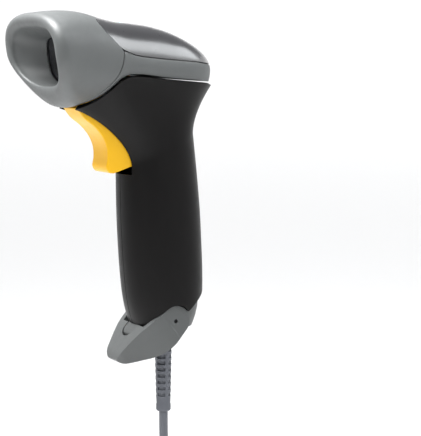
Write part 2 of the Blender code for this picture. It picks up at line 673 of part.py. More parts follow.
def notch_outline(half, end):
    turn = np.radians(np.linspace(0, 180, 9))
    round_end = [(half * math.cos(a), end - half + half * math.sin(a)) for a in turn]
    return [(half, 0)] + round_end + [(-half, 0)]


def foot_to_row(s, n):
    """A point of the foot's side view, as (y, z)."""
    y, z = FOOT_PIVOT
    slope = FOOT_SLOPE
    return y - s * math.cos(slope) - n * math.sin(slope), z - s * math.sin(slope) + n * math.cos(slope)


def make_cheek_cutter():
    """Room for the foot's cheeks beside the end of the grip."""
    outline = [foot_to_row(s, n) for s, n in foot_outline(CHEEK_ROOM)]
    pairs = [[[(side * x, *point) for point in outline] for x in (CHEEK_PLATE, 22 * MM)] for side in (-1, 1)]
    return add_mesh("cheek_room", prism_mesh("cheek_room", pairs))


def make_low_cutter():
    """Room for the toe side of the cheeks and of the foot's top wall."""
    size, reach = (10 * MM, 24 * MM, 30 * MM), CHEEK_PLATE + GAP + 5 * MM
    low_room = [box_mesh("toe_room_" + word, size, (side * reach, -5 * MM, -68 * MM))
                for word, side in (("left", 1), ("right", -1))]
    return [add_mesh(mesh.name, mesh) for mesh in low_room]


def grip_ring(around, z):
    """A level ring round the grip at height z."""
    return grip_section(np.full(around, z), np.linspace(-math.pi, math.pi, around, endpoint=False))


def make_cap():
    """Grey end cap: closes the grip, narrow between the foot's cheeks, with a tongue in front."""
    rows = [grip_ring(40, z * MM) for z in (-34, -46, -57)]
    base, middle = grip_ring(40, -60 * MM), np.array([0, CABLE_Y, 0])
    for z, share in CAP_FLOOR:
        ring = middle + (base - middle) * share
        ring[:, 2] = z
        rows.append(ring)
    cap = add_mesh("bottom_cap", grid_mesh("bottom_cap", rows, closed=True, cap_ends=True), (GREY, 0.55))
    cut(cap, add_mesh("cap_room", cap_room_mesh()))
    cut(cap, CHEEK_CUTTER)
    for room in make_low_cutter():
        cut(cap, room)
    cut(cap, add_mesh("wall_room", outline_mesh("wall_room", foot_sweep(), 24 * MM)))
    hole = cylinder_mesh("boot_hole", [(4.9 * MM, (0, CABLE_Y, -54 * MM), (0, CABLE_Y, -80 * MM))])
    cut(cap, add_mesh("boot_hole", hole))
    bore = cylinder_mesh("pin_bore", [(1.2 * MM, (-20 * MM, *FOOT_PIVOT), (20 * MM, *FOOT_PIVOT))], 16)
    cut(cap, add_mesh("pin_bore", bore))
    tongue = outline_mesh("cap_tongue", [foot_to_row(s, n) for s, n in TONGUE], TONGUE_HALF_WIDTH)
    tongue = add_mesh("cap_tongue", tongue)
    plan = notch_outline(TONGUE_HALF_WIDTH, NOTCH_END - TONGUE_GAP)
    keep_common(tongue, at_foot("tongue_plan", plan_prism("tongue_plan", plan, 0, 20 * MM)))
    join(cap, tongue)
    above = np.concatenate([[(-30 * MM, -54.6 * MM)], smooth_line(GRIP_CUT, 14), [(40 * MM, -37 * MM)]])
    above = np.concatenate([above - (0, CAP_GAP), [(40 * MM, 0), (-30 * MM, 0)]])
    cut(cap, add_mesh("above_cap", outline_mesh("above_cap", above, 30 * MM)))


def cap_room_mesh():
    """The hollow inside the cap: a rounded well, open above."""
    half, front, rear = CAP_ROOM
    angle = np.linspace(0, 2 * math.pi, 28, endpoint=False)
    x = half * power(np.cos(angle), 0.55)
    y = (front + rear) / 2 + (rear - front) / 2 * power(np.sin(angle), 0.55)
    return prism_mesh("cap_room", [[list(zip(x, y, 0 * x + z)) for z in (CAP_ROOM_FLOOR, -20 * MM)]])


def foot_sweep(reach=13.2 * MM, far=40 * MM, first=168, last=248):
    """The (y, z) sector that the foot's top wall sweeps in front of the cap, between two angles in degrees."""
    y, z = FOOT_PIVOT
    turns = np.radians(np.linspace(first, last, 11))
    near = [(y + reach * math.cos(a), z + reach * math.sin(a)) for a in turns]
    outer = [(y + far * math.cos(a), z + far * math.sin(a)) for a in turns[::-1]]
    return near + outer


# ---------------------------------------------------------------- trigger and switch

def make_trigger():
    outline = np.concatenate([smooth_line(TRIGGER_FACE, 16), TRIGGER_BACK])
    outline = outline - TRIGGER_PIN
    trigger = add_mesh("trigger", outline_mesh("trigger", outline, TRIGGER_HALF_WIDTH), (YELLOW, 0.3),
                       location=(0, *TRIGGER_PIN))
    bore = cylinder_mesh("trigger_bore", [(1.6 * MM, (-20 * MM, 0, 0), (20 * MM, 0, 0))], 16)
    cut(trigger, add_mesh("trigger_bore", bore, location=(0, *TRIGGER_PIN)))
    pin = cylinder_mesh("trigger_pin", [(1.3 * MM, (-14 * MM, 0, 0), (14 * MM, 0, 0))], 16)
    add_mesh("trigger_pin", pin, (STEEL, 0.3, 1.0), location=(0, *TRIGGER_PIN))


def make_spring():
    """Return spring between the trigger and the board, along Y."""
    turns, radius, wire = 5, 2.2 * MM, 0.32 * MM
    start, end = -13.6 * MM, BOARD_Y - GAP - wire
    steps = turns * 8
    points = [(radius * math.cos(2 * math.pi * turns * i / steps), start + (end - start) * i / steps,
               SPRING_Z + radius * math.sin(2 * math.pi * turns * i / steps)) for i in range(steps + 1)]
    made = bpy.data.objects.new("trigger_spring", tube_curve("trigger_spring", points, wire))
    PARTS.objects.link(made)
    made.data.materials.append(make_material("trigger_spring", STEEL, 0.3, 1.0))


def make_switch():
    front = -0.5 * MM
    size = (7 * MM, BOARD_Y - GAP - front, 7 * MM)
    body = add_mesh("switch_body", box_mesh("switch_body", size, (0, front + size[1] / 2, SWITCH_Z)), (DARK, 0.5))
    well = cylinder_mesh("switch_well", [(1.9 * MM, (0, -5 * MM, SWITCH_Z), (0, 4.4 * MM, SWITCH_Z))])
    cut(body, add_mesh("switch_well", well))
    plunger = cylinder_mesh("switch_plunger", [(1.6 * MM, (0, -3.6 * MM, 0), (0, 2 * MM, 0))])
    add_mesh("switch_plunger", plunger, ((0.5, 0.02, 0.02), 0.4), location=(0, 0, SWITCH_Z))


# ---------------------------------------------------------------- optics, electronics and fasteners

def head_box(name, low, high, look, bevel=0.0):
    low, high = mm(low), mm(high)
    made = add_mesh(name, box_mesh(name, high - low, (low + high) / 2), look, HEAD)
    if bevel:
        round_edges(made, bevel)
    return made


def head_rod(name, radius, start, end, look, segments=20):
    return add_mesh(name, cylinder_mesh(name, [(radius * MM, mm(start), mm(end))], segments), look, HEAD)


def make_optics():
    add_mesh("scan_window", tilted_pane("scan_window", 1.05, WINDOW_FACES), ((0.01, 0.01, 0.012), 0.08), HEAD)
    gasket = add_mesh("window_gasket", tilted_pane("window_gasket", 1.05, GASKET_FACES), (DARK, 0.8), HEAD)
    cut(gasket, add_mesh("gasket_hole", tilted_pane("gasket_hole", 0.9, mm((17, 21))), parent=HEAD))
    front = ENGINE_FRONT
    housing = head_box("engine_housing", (-14.5, front, -8.8), (14.5, front + 18.8, 9.2), (DARK, 0.6))
    wells = [(4.4, 0, -1, 10.8), (2.9, 10.2, 0, 6.8), (2.9, -10.2, 0, 6.8), (1.9, 0, 6.3, 4.8)]
    wells = [(radius * MM, mm((x, front - 15, h)), mm((x, front + deep, h))) for radius, x, h, deep in wells]
    cut(housing, add_mesh("engine_wells", cylinder_mesh("engine_wells", wells), parent=HEAD))
    head_rod("lens_barrel", 4.0, (0, front + 1.4, -1), (0, front + 10.5, -1), (DARK, 0.4))
    head_rod("receive_lens", 3.4, (0, front, -1), (0, front + 1.1, -1), ((0.05, 0.08, 0.12), 0.05))
    for side, word in ((1, "left"), (-1, "right")):
        head_rod("lamp_" + word, 2.5, (side * 10.2, front + 0.4, 0), (side * 10.2, front + 6.4, 0),
                 ((0.9, 0.9, 0.85), 0.2))
    head_rod("aiming_led", 1.5, (0, front + 0.4, 6.3), (0, front + 4.4, 6.3), ((0.7, 0.05, 0.05), 0.2))
    head_box("sensor_board", (-14, front + 19.1, -8.5), (14, front + 20.7, 8.5), (BOARD_GREEN, 0.5))
    bracket = head_box("engine_bracket", (-15, front + 0.6, -11), (15, front + 28.6, -9.1), (STEEL, 0.4, 1.0))
    for side, word in ((1, "left"), (-1, "right")):
        x, t = side * 9, front + 10
        hole = cylinder_mesh("bracket_hole_" + word, [(1.4 * MM, mm((x, t, -14)), mm((x, t, -3)))], 16)
        hole = add_mesh("bracket_hole_" + word, hole, parent=HEAD)
        cut(bracket, hole)
        cut(housing, hole)
        head_rod("engine_screw_" + word, 1.1, (x, t, -13), (x, t, -4), (STEEL, 0.3, 1.0), 12)


def tilted_pane(name, grow, faces):
    """A slab with the outline of the funnel's end, parallel to the nose's front plane."""
    angle = np.linspace(0, 2 * math.pi, 32, endpoint=False)
    shape = (THROAT[0] * grow, THROAT[1] * grow, THROAT[2] * grow, *THROAT[3:])
    return prism_mesh(name, [[lens_ring(shape, angle, back) for back in faces]])


def make_electronics():
    low, high = mm((-10.5, 0, -21)), mm((10.5, 0, 46))
    size = (high[0] - low[0], BOARD_THICK, high[2] - low[2])
    centre = (0, BOARD_Y + BOARD_THICK / 2, (low[2] + high[2]) / 2)
    add_mesh("main_board", box_mesh("main_board", size, centre), (BOARD_GREEN, 0.5))
    add_mesh("processor", box_mesh("processor", mm((9, 1.2, 9)), mm((0, BOARD_Y / MM - 0.9, 2))), (DARK, 0.4))
    add_mesh("buzzer", cylinder_mesh("buzzer", [(4.5 * MM, mm((0, 8.4, 14)), mm((0, 12.4, 14)))]), (DARK, 0.5))
    head_box("head_board", (-9, -38, 11.2), (9, -4, 12.6), (BOARD_GREEN, 0.5))
    head_box("indicator_led", (-1.6, -22.6, 12.9), (1.6, -19.4, 14.6), ((0.1, 0.7, 0.2), 0.3))
    head_rod("indicator_lens", 2.8, (0, -21, 14.9), (0, -21, 19.0), ((0.8, 0.85, 0.85), 0.15))
    ribbon = smooth_line(mm([(-21.2, -4), (-14, -6.5), (-6, -6), (1.5, -12), (4.2, -21)]), 14)
    add_ribbon(ribbon)
    socket = add_mesh("cable_socket", box_mesh("cable_socket", mm((14, 12, 15)), mm((0, 4.2, -29))), (DARK, 0.5))
    cavity = add_mesh("socket_cavity", box_mesh("socket_cavity", mm((10.8, 8.8, 14)), mm((0, 4.2, -32))))
    cut(socket, cavity)
    add_mesh("cable_plug", box_mesh("cable_plug", mm((10.2, 8.2, 26)), mm((0, 4.2, -42.6))), (CABLE_GREY, 0.5))


def add_ribbon(line):
    """Flat cable from the sensor board back and down to the main board, in the head's frame."""
    rows = [np.stack([np.full(len(line), x), line[:, 0], line[:, 1]], -1) for x in (-6 * MM, 6 * MM)]
    ribbon = add_mesh("ribbon_cable", grid_mesh("ribbon_cable", rows), ((0.7, 0.4, 0.1), 0.4), HEAD)
    thicken(ribbon, 0.3 * MM)


def make_shell_screws():
    for number, (y, z) in enumerate(SHELL_SCREWS, 1):
        name = f"shell_screw_{number}"
        profile = mm([(0, 2.0), (2.4, 2.0), (2.4, 0), (1.2, 0), (1.2, -23), (0, -23)])
        screw = turned(name, profile, (STEEL, 0.35, 1.0), (-13.0 * MM, y, z), 12)
        screw.rotation_euler.y = -math.pi / 2


# ---------------------------------------------------------------- cable

def make_boot():
    inner = [(BOOT_BORE_RADIUS, BOOT_PROFILE[-1, 1]), (BOOT_BORE_RADIUS, BOOT_BORE_TOP), (0, BOOT_BORE_TOP)]
    profile = [(0, BOOT_PROFILE[0, 1])] + [tuple(p) for p in BOOT_PROFILE] + inner
    turned("strain_relief", profile, (CABLE_GREY, 0.6), (0, CABLE_Y, 0), 16)


def make_tube(name, route, count):
    made = bpy.data.objects.new(name, tube_curve(name, smooth_line(route, count), CABLE_RADIUS))
    PARTS.objects.link(made)
    made.data.materials.append(make_material(name, CABLE_GREY, 0.5))


def make_coil():
    """The outer shape of the wound cable, a ring about X, and the tie round it."""
    half_across = COIL_ROWS * CABLE_RADIUS
    half_deep = COIL_LAYERS * CABLE_RADIUS
    corner = 1.8 * MM
    turn = np.radians(np.linspace(90, 0, 4))
    quarter = [(math.cos(a), math.sin(a)) for a in turn]
    ring = []
    for su, sv in ((1, 1), (1, -1), (-1, -1), (-1, 1)):
        part = [(COIL_RADIUS + su * (half_deep - corner + corner * u), sv * (half_across - corner + corner * v))
                for u, v in quarter]
        ring += part if su * sv > 0 else part[::-1]
    coil = turned("cable_coil", ring + ring[:1], (CABLE_GREY, 0.5), COIL_CENTRE, COIL_STEPS)
    coil.rotation_euler.y = math.pi / 2
    outer = mm((2 * half_across / MM + 3.4, 3.2 * 2, 2 * half_deep / MM + 3.4))
    top = (COIL_CENTRE[0], COIL_CENTRE[1], COIL_CENTRE[2] + COIL_RADIUS)
    tie = add_mesh("cable_tie", box_mesh("cable_tie", outer, top), (DARK, 0.6))
    round_edges(tie, 1.5 * MM)
    room = turned_room(half_across + GAP, half_deep + GAP)
    cut(tie, room)


def turned_room(half_across, half_deep):
    """Room for the coil inside its tie."""
    low, high = COIL_RADIUS - half_deep, COIL_RADIUS + half_deep
    bm = bmesh.new()
    ring = [bm.verts.new((r, 0, z)) for r, z in
            ((low, half_across), (high, half_across), (high, -half_across), (low, -half_across))]
    for a, b in zip(ring, ring[1:] + ring[:1]):
        bm.edges.new((a, b))
    mesh = bpy.data.meshes.new("coil_room")
    bm.to_mesh(mesh)
    bm.free()
    room = add_mesh("coil_room", mesh, location=COIL_CENTRE)
    room.rotation_euler.y = math.pi / 2
    screw = modifier(room, "SCREW", "turn", axis="Z", use_merge_vertices=True, merge_threshold=0.00001)
    screw.steps = screw.render_steps = COIL_STEPS
    return room


def make_plug():
    x, y = TAIL_ROUTE[-1, 0], TAIL_ROUTE[-1, 1]
    z = PLUG_TOP - 1.4 * MM
    grip = add_mesh("usb_overmould", box_mesh("usb_overmould", mm((16, 9, 24)), (x, y, z - 12 * MM)),
                    (CABLE_GREY, 0.5))
    round_edges(grip, 2 * MM)
    shell_top = z - 24 * MM - GAP
    shell = add_mesh("usb_shell", box_mesh("usb_shell", mm((12, 4.5, 12)), (x, y, shell_top - 6 * MM)),
                     (STEEL, 0.25, 1.0))
    cut(shell, add_mesh("usb_room", box_mesh("usb_room", mm((11.2, 3.9, 12)), (x, y, shell_top - 7 * MM))))
    add_mesh("usb_tongue", box_mesh("usb_tongue", mm((10.4, 1.3, 10)), (x, y + 0.9 * MM, shell_top - 6.6 * MM)),
             ((0.8, 0.8, 0.8), 0.4))


CHEEK_CUTTER = make_cheek_cutter()
SLOT_CUTTER = add_mesh("trigger_slot", outline_mesh("trigger_slot", SLOT, SLOT_HALF_WIDTH))
make_bumper()
make_cover()
make_band()
make_shell("grip_shell_left", 1)
make_shell("grip_shell_right", -1)
make_cap()
make_foot()
make_trigger()
make_spring()
make_switch()
make_optics()
make_electronics()
make_shell_screws()
make_boot()
make_tube("cable", CABLE_ROUTE, 22)
make_tube("cable_tail", TAIL_ROUTE, 12)
make_coil()
make_plug()
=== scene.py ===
"""Looks for the handheld barcode scanner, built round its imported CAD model.

Metres, in the CAD's frame: +Z up, the nose points to -Y, the scanner's left side is +X.
The head is drawn in its own frame (x, t, h), pitched nose-up: t runs back along the head, h runs up from it.
"""

import math

import bmesh
import bpy
import numpy as np
from mathutils import Matrix, Vector


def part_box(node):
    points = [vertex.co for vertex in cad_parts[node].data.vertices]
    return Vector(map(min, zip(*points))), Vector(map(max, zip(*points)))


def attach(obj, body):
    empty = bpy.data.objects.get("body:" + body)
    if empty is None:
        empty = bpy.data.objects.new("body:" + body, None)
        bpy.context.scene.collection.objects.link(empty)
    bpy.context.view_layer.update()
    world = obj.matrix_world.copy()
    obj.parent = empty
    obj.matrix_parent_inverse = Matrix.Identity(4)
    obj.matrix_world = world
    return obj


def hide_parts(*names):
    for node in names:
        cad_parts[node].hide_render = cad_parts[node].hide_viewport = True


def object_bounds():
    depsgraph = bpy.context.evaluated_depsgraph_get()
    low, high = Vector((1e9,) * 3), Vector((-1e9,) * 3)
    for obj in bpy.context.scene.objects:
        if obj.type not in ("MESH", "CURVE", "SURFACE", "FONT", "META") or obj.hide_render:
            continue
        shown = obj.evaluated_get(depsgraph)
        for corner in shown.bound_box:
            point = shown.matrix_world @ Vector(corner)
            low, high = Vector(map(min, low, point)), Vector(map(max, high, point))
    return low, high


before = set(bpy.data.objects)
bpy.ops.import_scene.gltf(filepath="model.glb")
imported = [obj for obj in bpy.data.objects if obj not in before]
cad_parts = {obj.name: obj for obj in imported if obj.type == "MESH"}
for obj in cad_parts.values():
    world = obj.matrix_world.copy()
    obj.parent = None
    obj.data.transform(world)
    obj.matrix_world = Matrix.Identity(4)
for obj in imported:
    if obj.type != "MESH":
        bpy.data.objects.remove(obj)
CAD_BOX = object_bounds()
MM = 0.001
GAP, COVER_GAP, SHELL_GAP, SEAM_GAP = 0.3 * MM, 0.5 * MM, 0.75 * MM, 0.3 * MM


def mm(values):
    """Millimetres to metres."""
    return np.array(values, float) * MM


# ---------------------------------------------------------------- dimensions, nearly all as in the CAD

HEAD_ORIGIN = (0, 0, 70 * MM)
HEAD_PITCH = math.radians(6)
NOSE_HALF_WIDTH = mm([(-66, 34.2), (-60, 32.6), (-54, 30.2), (-48, 27.9), (-42, 26.0), (-34, 24.2),
                      (-26, 23.1), (-14, 22.6), (-2, 22.3)])
REAR_ROUND_START, REAR_END, REAR_POWER = -2 * MM, 27.8 * MM, 2.15
CREST = mm([(-66, 18.2), (-60, 19.8), (-52, 21.0), (-44, 21.0), (-36, 19.8), (-28, 18.9), (-18, 18.9),
            (-8, 18.6), (2, 17.0), (10, 14.6), (18, 11.2), (24, 7.4), (27.8, 4.0)])
KEEL = mm([(-66, 17.2), (-60, 20.0), (-54, 22.4), (-48, 23.8), (-42, 23.4), (-34, 21.5)])
CREST_POWER, KEEL_POWER = 2.5, 2.1
FRONT, FRONT_LEAN, FRONT_LEVEL = -65.5 * MM, 0.24, 3 * MM
CHIN_BACK, CHIN_DEPTH = 6.0 * MM, 24 * MM
BUMPER_EDGE = [(-90, -46.6), (-75, -45.2), (-60, -41.6), (-45, -36.6), (-30, -32.8), (-15, -29.9), (2, -28.4),
               (10, -28.7), (20, -33.0), (34, -37.8), (52, -40.6), (70, -38.8), (90, -36.8)]
RIM_BACK, MOUTH_BACK, WINDOW_BACK = 5.0 * MM, 2.8 * MM, 16 * MM
MOUTH = (26.0 * MM, 11.9 * MM, 14.6 * MM, 3.0, 2.4)
THROAT = (17.5 * MM, 9.0 * MM, 12.5 * MM, 3.4, 2.8)
WINDOW_FACES = (16.8 * MM, 18.2 * MM)
WALL = 2.0 * MM
BAND_TOP = mm([(-28, 4.6), (-22, 3.2), (-14, 2.9), (0, 3.1), (14, 3.4), (27.8, 3.2)])
BAND_BOTTOM = mm([(-41.0, -20.6), (-35.2, -16.8), (-31.4, -12.2), (-28.6, -8.6), (-25.2, -6.2), (-20, -5.2),
                  (-4, -5.2), (14, -4.9), (27.8, -4.6)])
BAND_TIP_ANGLE = -61
COVER_CORNER = -26.5 * MM
COVER_SPINE = (-20 * MM, 14 * MM)
GRIP = mm([(-62, 12.6, -6.6, 15.2), (-57, 14.3, -9.6, 17.8), (-50, 15.2, -12.2, 20.6),
           (-42, 15.8, -13.9, 21.5), (-30, 16.2, -15.2, 21.6), (-15, 16.3, -16.2, 21.0),
           (0, 16.2, -16.8, 20.2), (15, 15.8, -17.0, 18.9), (28, 15.3, -17.2, 17.6), (44, 15.0, -18.6, 15.9)])
GRIP_POWER = 2.25
FLARE_FRONT_Z, FLARE_REAR_Z = 20 * MM, 42 * MM
FLARE_PULL_FRONT, FLARE_PULL_SIDE, FLARE_PULL_REAR = 40 * MM, 28 * MM, 15 * MM
UNDER_BUMPER = mm([(-45.9, -23.4), (-44.6, -22.8)])
GRIP_CUT = mm([(-14, -54.6), (-6, -54.2), (0, -52.5), (9, -48.4), (14, -44.2), (21.6, -37.6)])
CAP_HEIGHTS = (-34, -40, -44, -48, -52, -55, -57)
CAP_FLOOR = [(-57.8, 0.955), (-58.9, 0.9), (-60.0, 0.84), (-60.9, 0.75), (-61.6, 0.6), (-62, 0.48)]
CAP_ROOM, CAP_ROOM_FLOOR = mm([9.4, -3.0, 14.6]), -57.5 * MM
TONGUE = mm([(8, 4.2), (8, 6.9), (13, 7.0), (16.5, 6.5), (18.8, 5.9), (19.4, 5.2), (19.2, 4.4), (17, 4.2)])
TRIGGER_PIN = (-29 * MM, 53 * MM)
TRIGGER_HALF_WIDTH = 8.2 * MM
TRIGGER_FACE = mm([(-45, 51), (-41.5, 46.4), (-36, 42), (-31.8, 37), (-29.6, 31.5), (-29.4, 26.5),
                   (-30, 22.6), (-28.6, 20.2), (-26, 19.8)])
TRIGGER_BACK = mm([(-17.5, 22.5), (-12, 23), (-3.9, 23.2), (-3.9, 26.8), (-12, 27.4), (-14.2, 31),
                   (-14.2, 37.5), (-20, 44.5), (-24.2, 50), (-24.6, 55), (-28, 57.6), (-33, 57.4),
                   (-38.5, 54.8)])
SLOT = mm([(-54, 56), (-54, 44), (-34, 18.6), (-12, 18.6), (-12, 42), (-20, 60)])
SLOT_HALF_WIDTH = 8.8 * MM
FOOT_PIVOT = (2.8 * MM, -53 * MM)
FOOT_SLOPE = math.radians(35.9)
FOOT_END_RADIUS = 7.5 * MM
FOOT_TOP = mm([(7.5, 7.6), (16.6, 6.7), (25.4, 4.5), (30.6, 2.6), (32.6, 0.6)])
FOOT_UNDER = mm([(31.6, -2.0), (28, -4.3), (24, -6.1), (18.1, -8.6), (13, -9.6), (6.6, -9.4), (2, -8.2)])
FOOT_HALF_WIDTH = mm([(-9, 16), (2, 16), (8, 15.4), (14, 13.7), (20, 11.3), (26, 8.8), (31, 6.6),
                      (33.2, 4.4)])
FOOT_WALL = 2.2 * MM
CHEEK_INSIDE, CHEEK_ROOM, CHEEK_PLATE = 13.4 * MM, 0.45 * MM, 12.4 * MM
NOTCH_HALF_WIDTH, TONGUE_HALF_WIDTH, TONGUE_GAP = 5.4 * MM, 5.0 * MM, 0.5 * MM
FOOT_ROOF_START, NOTCH_END = 13.6 * MM, 21 * MM
SHELL_SCREWS = mm([(6.4, 52), (1, 12), (1, -14)])
CABLE_RADIUS, CABLE_Y, CABLE_LENGTH = 2.25 * MM, 4.2 * MM, 2.0
BOOT_PROFILE = mm([(0, -56.3), (5.9, -56.3), (5.9, -57.2), (4.6, -57.3), (4.6, -60), (4.2, -71), (3.75, -92),
                   (3.5, -97.2), (3.7, -97.8), (3.7, -100.4), (3.2, -101), (2.3, -101), (2.3, -97), (0, -97)])
CABLE_ROUTE = mm([(0, 4.2, -97.6), (0, 4.2, -104), (0, 4.2, -111), (0, 4.2, -118), (0.3, 2.6, -125),
                  (1.2, -1.8, -132), (2.4, -8.2, -139), (3.5, -15.2, -146), (4.2, -21.4, -153),
                  (4.5, -25.6, -161), (4.5, -27.3, -170.4)])
COIL_CENTRE = np.array([0, 4.2 * MM, -189 * MM])
COIL_RADIUS, COIL_ROWS, COIL_LAYERS = 25 * MM, 3, 4
TAIL_ROUTE = mm([(9.4, -13.2, -185), (9.6, -13.6, -192), (9.6, -14.4, -200), (9.6, -15.4, -208),
                 (9.6, -16.2, -216), (9.6, -16.8, -224), (9.6, -17, -230)])
PLUG_TOP = -230.8 * MM
RIBS_START, RIBS_END, RIB_DEPTH, RIB_PITCH = 11 * MM, 20.5 * MM, 0.35 * MM, 2.4 * MM


# ---------------------------------------------------------------- camera

VIEW_AZIMUTH, VIEW_ELEVATION, VIEW_DISTANCE = math.radians(60), math.radians(7), 0.70
VIEW_ACROSS, VIEW_RISE = 0.0272, 0.0039
SENSOR_WIDTH, LENS_LENGTH = 36, 117.9


def make_camera():
    """The camera, looking at a point beside and below the object's origin by the two offsets."""
    a, e = VIEW_AZIMUTH, VIEW_ELEVATION
    back = Vector((math.sin(a) * math.cos(e), -math.cos(a) * math.cos(e), math.sin(e)))
    right = Vector((math.cos(a), math.sin(a), 0))
    up = back.cross(right)
    camera = bpy.data.objects.new("camera", bpy.data.cameras.new("camera"))
    place = back * VIEW_DISTANCE + right * VIEW_ACROSS - up * VIEW_RISE
    turn = Matrix((right, up, back)).transposed()
    camera.matrix_world = Matrix.Translation(place) @ turn.to_4x4()
    camera.data.sensor_width = SENSOR_WIDTH
    camera.data.lens = LENS_LENGTH
    bpy.context.scene.collection.objects.link(camera)
    bpy.context.scene.camera = camera


make_camera()


# ---------------------------------------------------------------- shape functions

def through(points, at):
    """A smooth value at each place, through (place, value) points."""
    x, y = np.asarray(points, float).T
    slope = np.diff(y) / np.diff(x)
    m = np.concatenate([slope[:1], (slope[1:] + slope[:-1]) / 2, slope[-1:]])
    at = np.clip(at, x[0], x[-1])
    i = np.clip(np.searchsorted(x, at) - 1, 0, len(x) - 2)
    w = x[i + 1] - x[i]
    s = (at - x[i]) / w
    start, end = (1 + 2 * s) * (1 - s) ** 2, s * s * (3 - 2 * s)
    return y[i] * start + y[i + 1] * end + w * (m[i] * s * (1 - s) ** 2 - m[i + 1] * s * s * (1 - s))


def smooth_line(points, count):
    """That many points along a smooth curve through the points, evenly spaced."""
    points = np.asarray(points, float)
    steps = np.linalg.norm(np.diff(points, axis=0), axis=1)
    place = np.concatenate([[0], np.cumsum(steps)])
    fine = np.linspace(0, place[-1], count * 12)
    dense = np.stack([through(np.c_[place, column], fine) for column in points.T], 1)
    run = np.concatenate([[0], np.cumsum(np.linalg.norm(np.diff(dense, axis=0), axis=1))])
    even = np.linspace(0, run[-1], count)
    return np.stack([np.interp(even, run, column) for column in dense.T], 1)


def half_width(t):
    """Half the head's width at station t; the rear end is round in plan."""
    t = np.asarray(t, float)
    turn = np.clip((t - REAR_ROUND_START) / (REAR_END - REAR_ROUND_START), 0, 1)
    rear = NOSE_HALF_WIDTH[-1, 1] * (1 - turn ** REAR_POWER) ** (1 / REAR_POWER)
    return np.where(t < REAR_ROUND_START, through(NOSE_HALF_WIDTH, t), rear)


def power(value, exponent):
    return np.sign(value) * np.abs(value) ** exponent


def head_ring(t, angle):
    """Points (x, t, h) of the head's skin at station t; angle 0 is the left side, 90 degrees the crest."""
    c, s = np.cos(angle), np.sin(angle)
    n = np.where(s > 0, CREST_POWER, KEEL_POWER)
    rise = np.where(s > 0, through(CREST, t), through(KEEL, t))
    return np.stack(np.broadcast_arrays(half_width(t) * power(c, 2 / n), t, rise * power(s, 2 / n)), -1)


def skin(t, h):
    """The left half's point (x, t, h) on the head's skin."""
    t, h = np.asarray(t, float), np.asarray(h, float)
    n = np.where(h > 0, CREST_POWER, KEEL_POWER)
    rise = np.where(h > 0, through(CREST, t), through(KEEL, t))
    share = np.clip(np.abs(h) / rise, 0, 1)
    return np.stack([half_width(t) * (1 - share ** n) ** (1 / n), t, h], -1)


def to_row(points):
    """Head frame to the object's frame."""
    x, t, h = np.moveaxis(np.asarray(points, float), -1, 0)
    c, s = math.cos(HEAD_PITCH), math.sin(HEAD_PITCH)
    return np.stack([x, t * c + h * s, HEAD_ORIGIN[2] - t * s + h * c], -1)


def front_plane(h):
    return FRONT - FRONT_LEAN * (h - FRONT_LEVEL)


def front_face(h):
    """Station of the bumper's front: the leaning plane, curving back below into the chin."""
    down = np.clip(-h / CHIN_DEPTH, 0, 1)
    return front_plane(h) + CHIN_BACK * (1 - np.cos(math.pi * down)) / 2


def bumper_edge(angle):
    """Station of the bumper's rear edge at an angle round the head."""
    folded = np.abs(np.arctan2(np.sin(angle), np.abs(np.cos(angle)))) * np.sign(np.sin(angle))
    return through(np.array(BUMPER_EDGE) * (math.radians(1), MM), folded)


def lens_ring(shape, angle, back):
    """A ring of the funnel: rounded shield, back from the front plane."""
    side, up, down, top_power, low_power = shape
    c, s = np.cos(angle), np.sin(angle)
    n = np.where(s > 0, top_power, low_power)
    h = np.where(s > 0, up, down) * power(s, 2 / n)
    return np.stack([side * power(c, 2 / n), front_plane(h) + back, h], -1)


def mouth_ring(angle):
    """The edge of the funnel's mouth, on the front face."""
    ring = lens_ring(MOUTH, angle, 0)
    ring[..., 1] = front_face(ring[..., 2]) + MOUTH_BACK
    return ring


def bumper_rows(around, along, roll, funnel):
    """Rows of the bumper from its rear edge, over the rolled rim and down the funnel to the window."""
    angle = np.linspace(-math.pi, math.pi, around, endpoint=False) + 0.5 * math.pi
    edge = bumper_edge(angle)
    reach = edge
    for _ in range(8):
        reach = front_face(head_ring(reach, angle)[..., 2]) + RIM_BACK
    rows = [head_ring(edge + (reach - edge) * f, angle) for f in np.linspace(0, 1, along)]
    mouth = mouth_ring(angle)
    crown = (RIM_BACK + MOUTH_BACK) / 2
    for f in np.linspace(0, 1, roll + 1)[1:]:
        point = rows[along - 1] + (mouth - rows[along - 1]) * (1 - math.cos(math.pi * f)) / 2
        depth = RIM_BACK + (MOUTH_BACK - RIM_BACK) * f - crown * math.sin(math.pi * f)
        point[..., 1] = front_face(point[..., 2]) + depth
        rows.append(point)
    throat = lens_ring(THROAT, angle, WINDOW_BACK)
    for f in np.linspace(0, 1, funnel + 1)[1:]:
        point = mouth + (throat - mouth) * f ** 1.25
        point[..., 1] = mouth[..., 1] + (throat[..., 1] - mouth[..., 1]) * f
        rows.append(point)
    return rows


def rear_stations(count):
    """Stations round the head's rear end, close together where it turns."""
    return REAR_ROUND_START + (REAR_END - REAR_ROUND_START) * np.sin(np.linspace(0, math.pi / 2, count)) ** (
        2 / REAR_POWER)


def cover_edge(count):
    """The left half of the top cover's outline, from the front of the crest round to the rear."""
    corner = skin(COVER_CORNER, through(BAND_TOP, COVER_CORNER) + COVER_GAP)
    angle = np.radians(np.linspace(90, 14, 17))
    front = head_ring(bumper_edge(angle) + GAP, angle)
    front = front[front[:, 1] < corner[1] - 1.2 * MM]
    t = np.concatenate([np.linspace(COVER_CORNER, REAR_ROUND_START, 14)[:-1], rear_stations(24)])
    side = skin(t, through(BAND_TOP, t) + COVER_GAP)
    side[-1, 0] = 0
    return smooth_line(np.concatenate([front, side]), count)


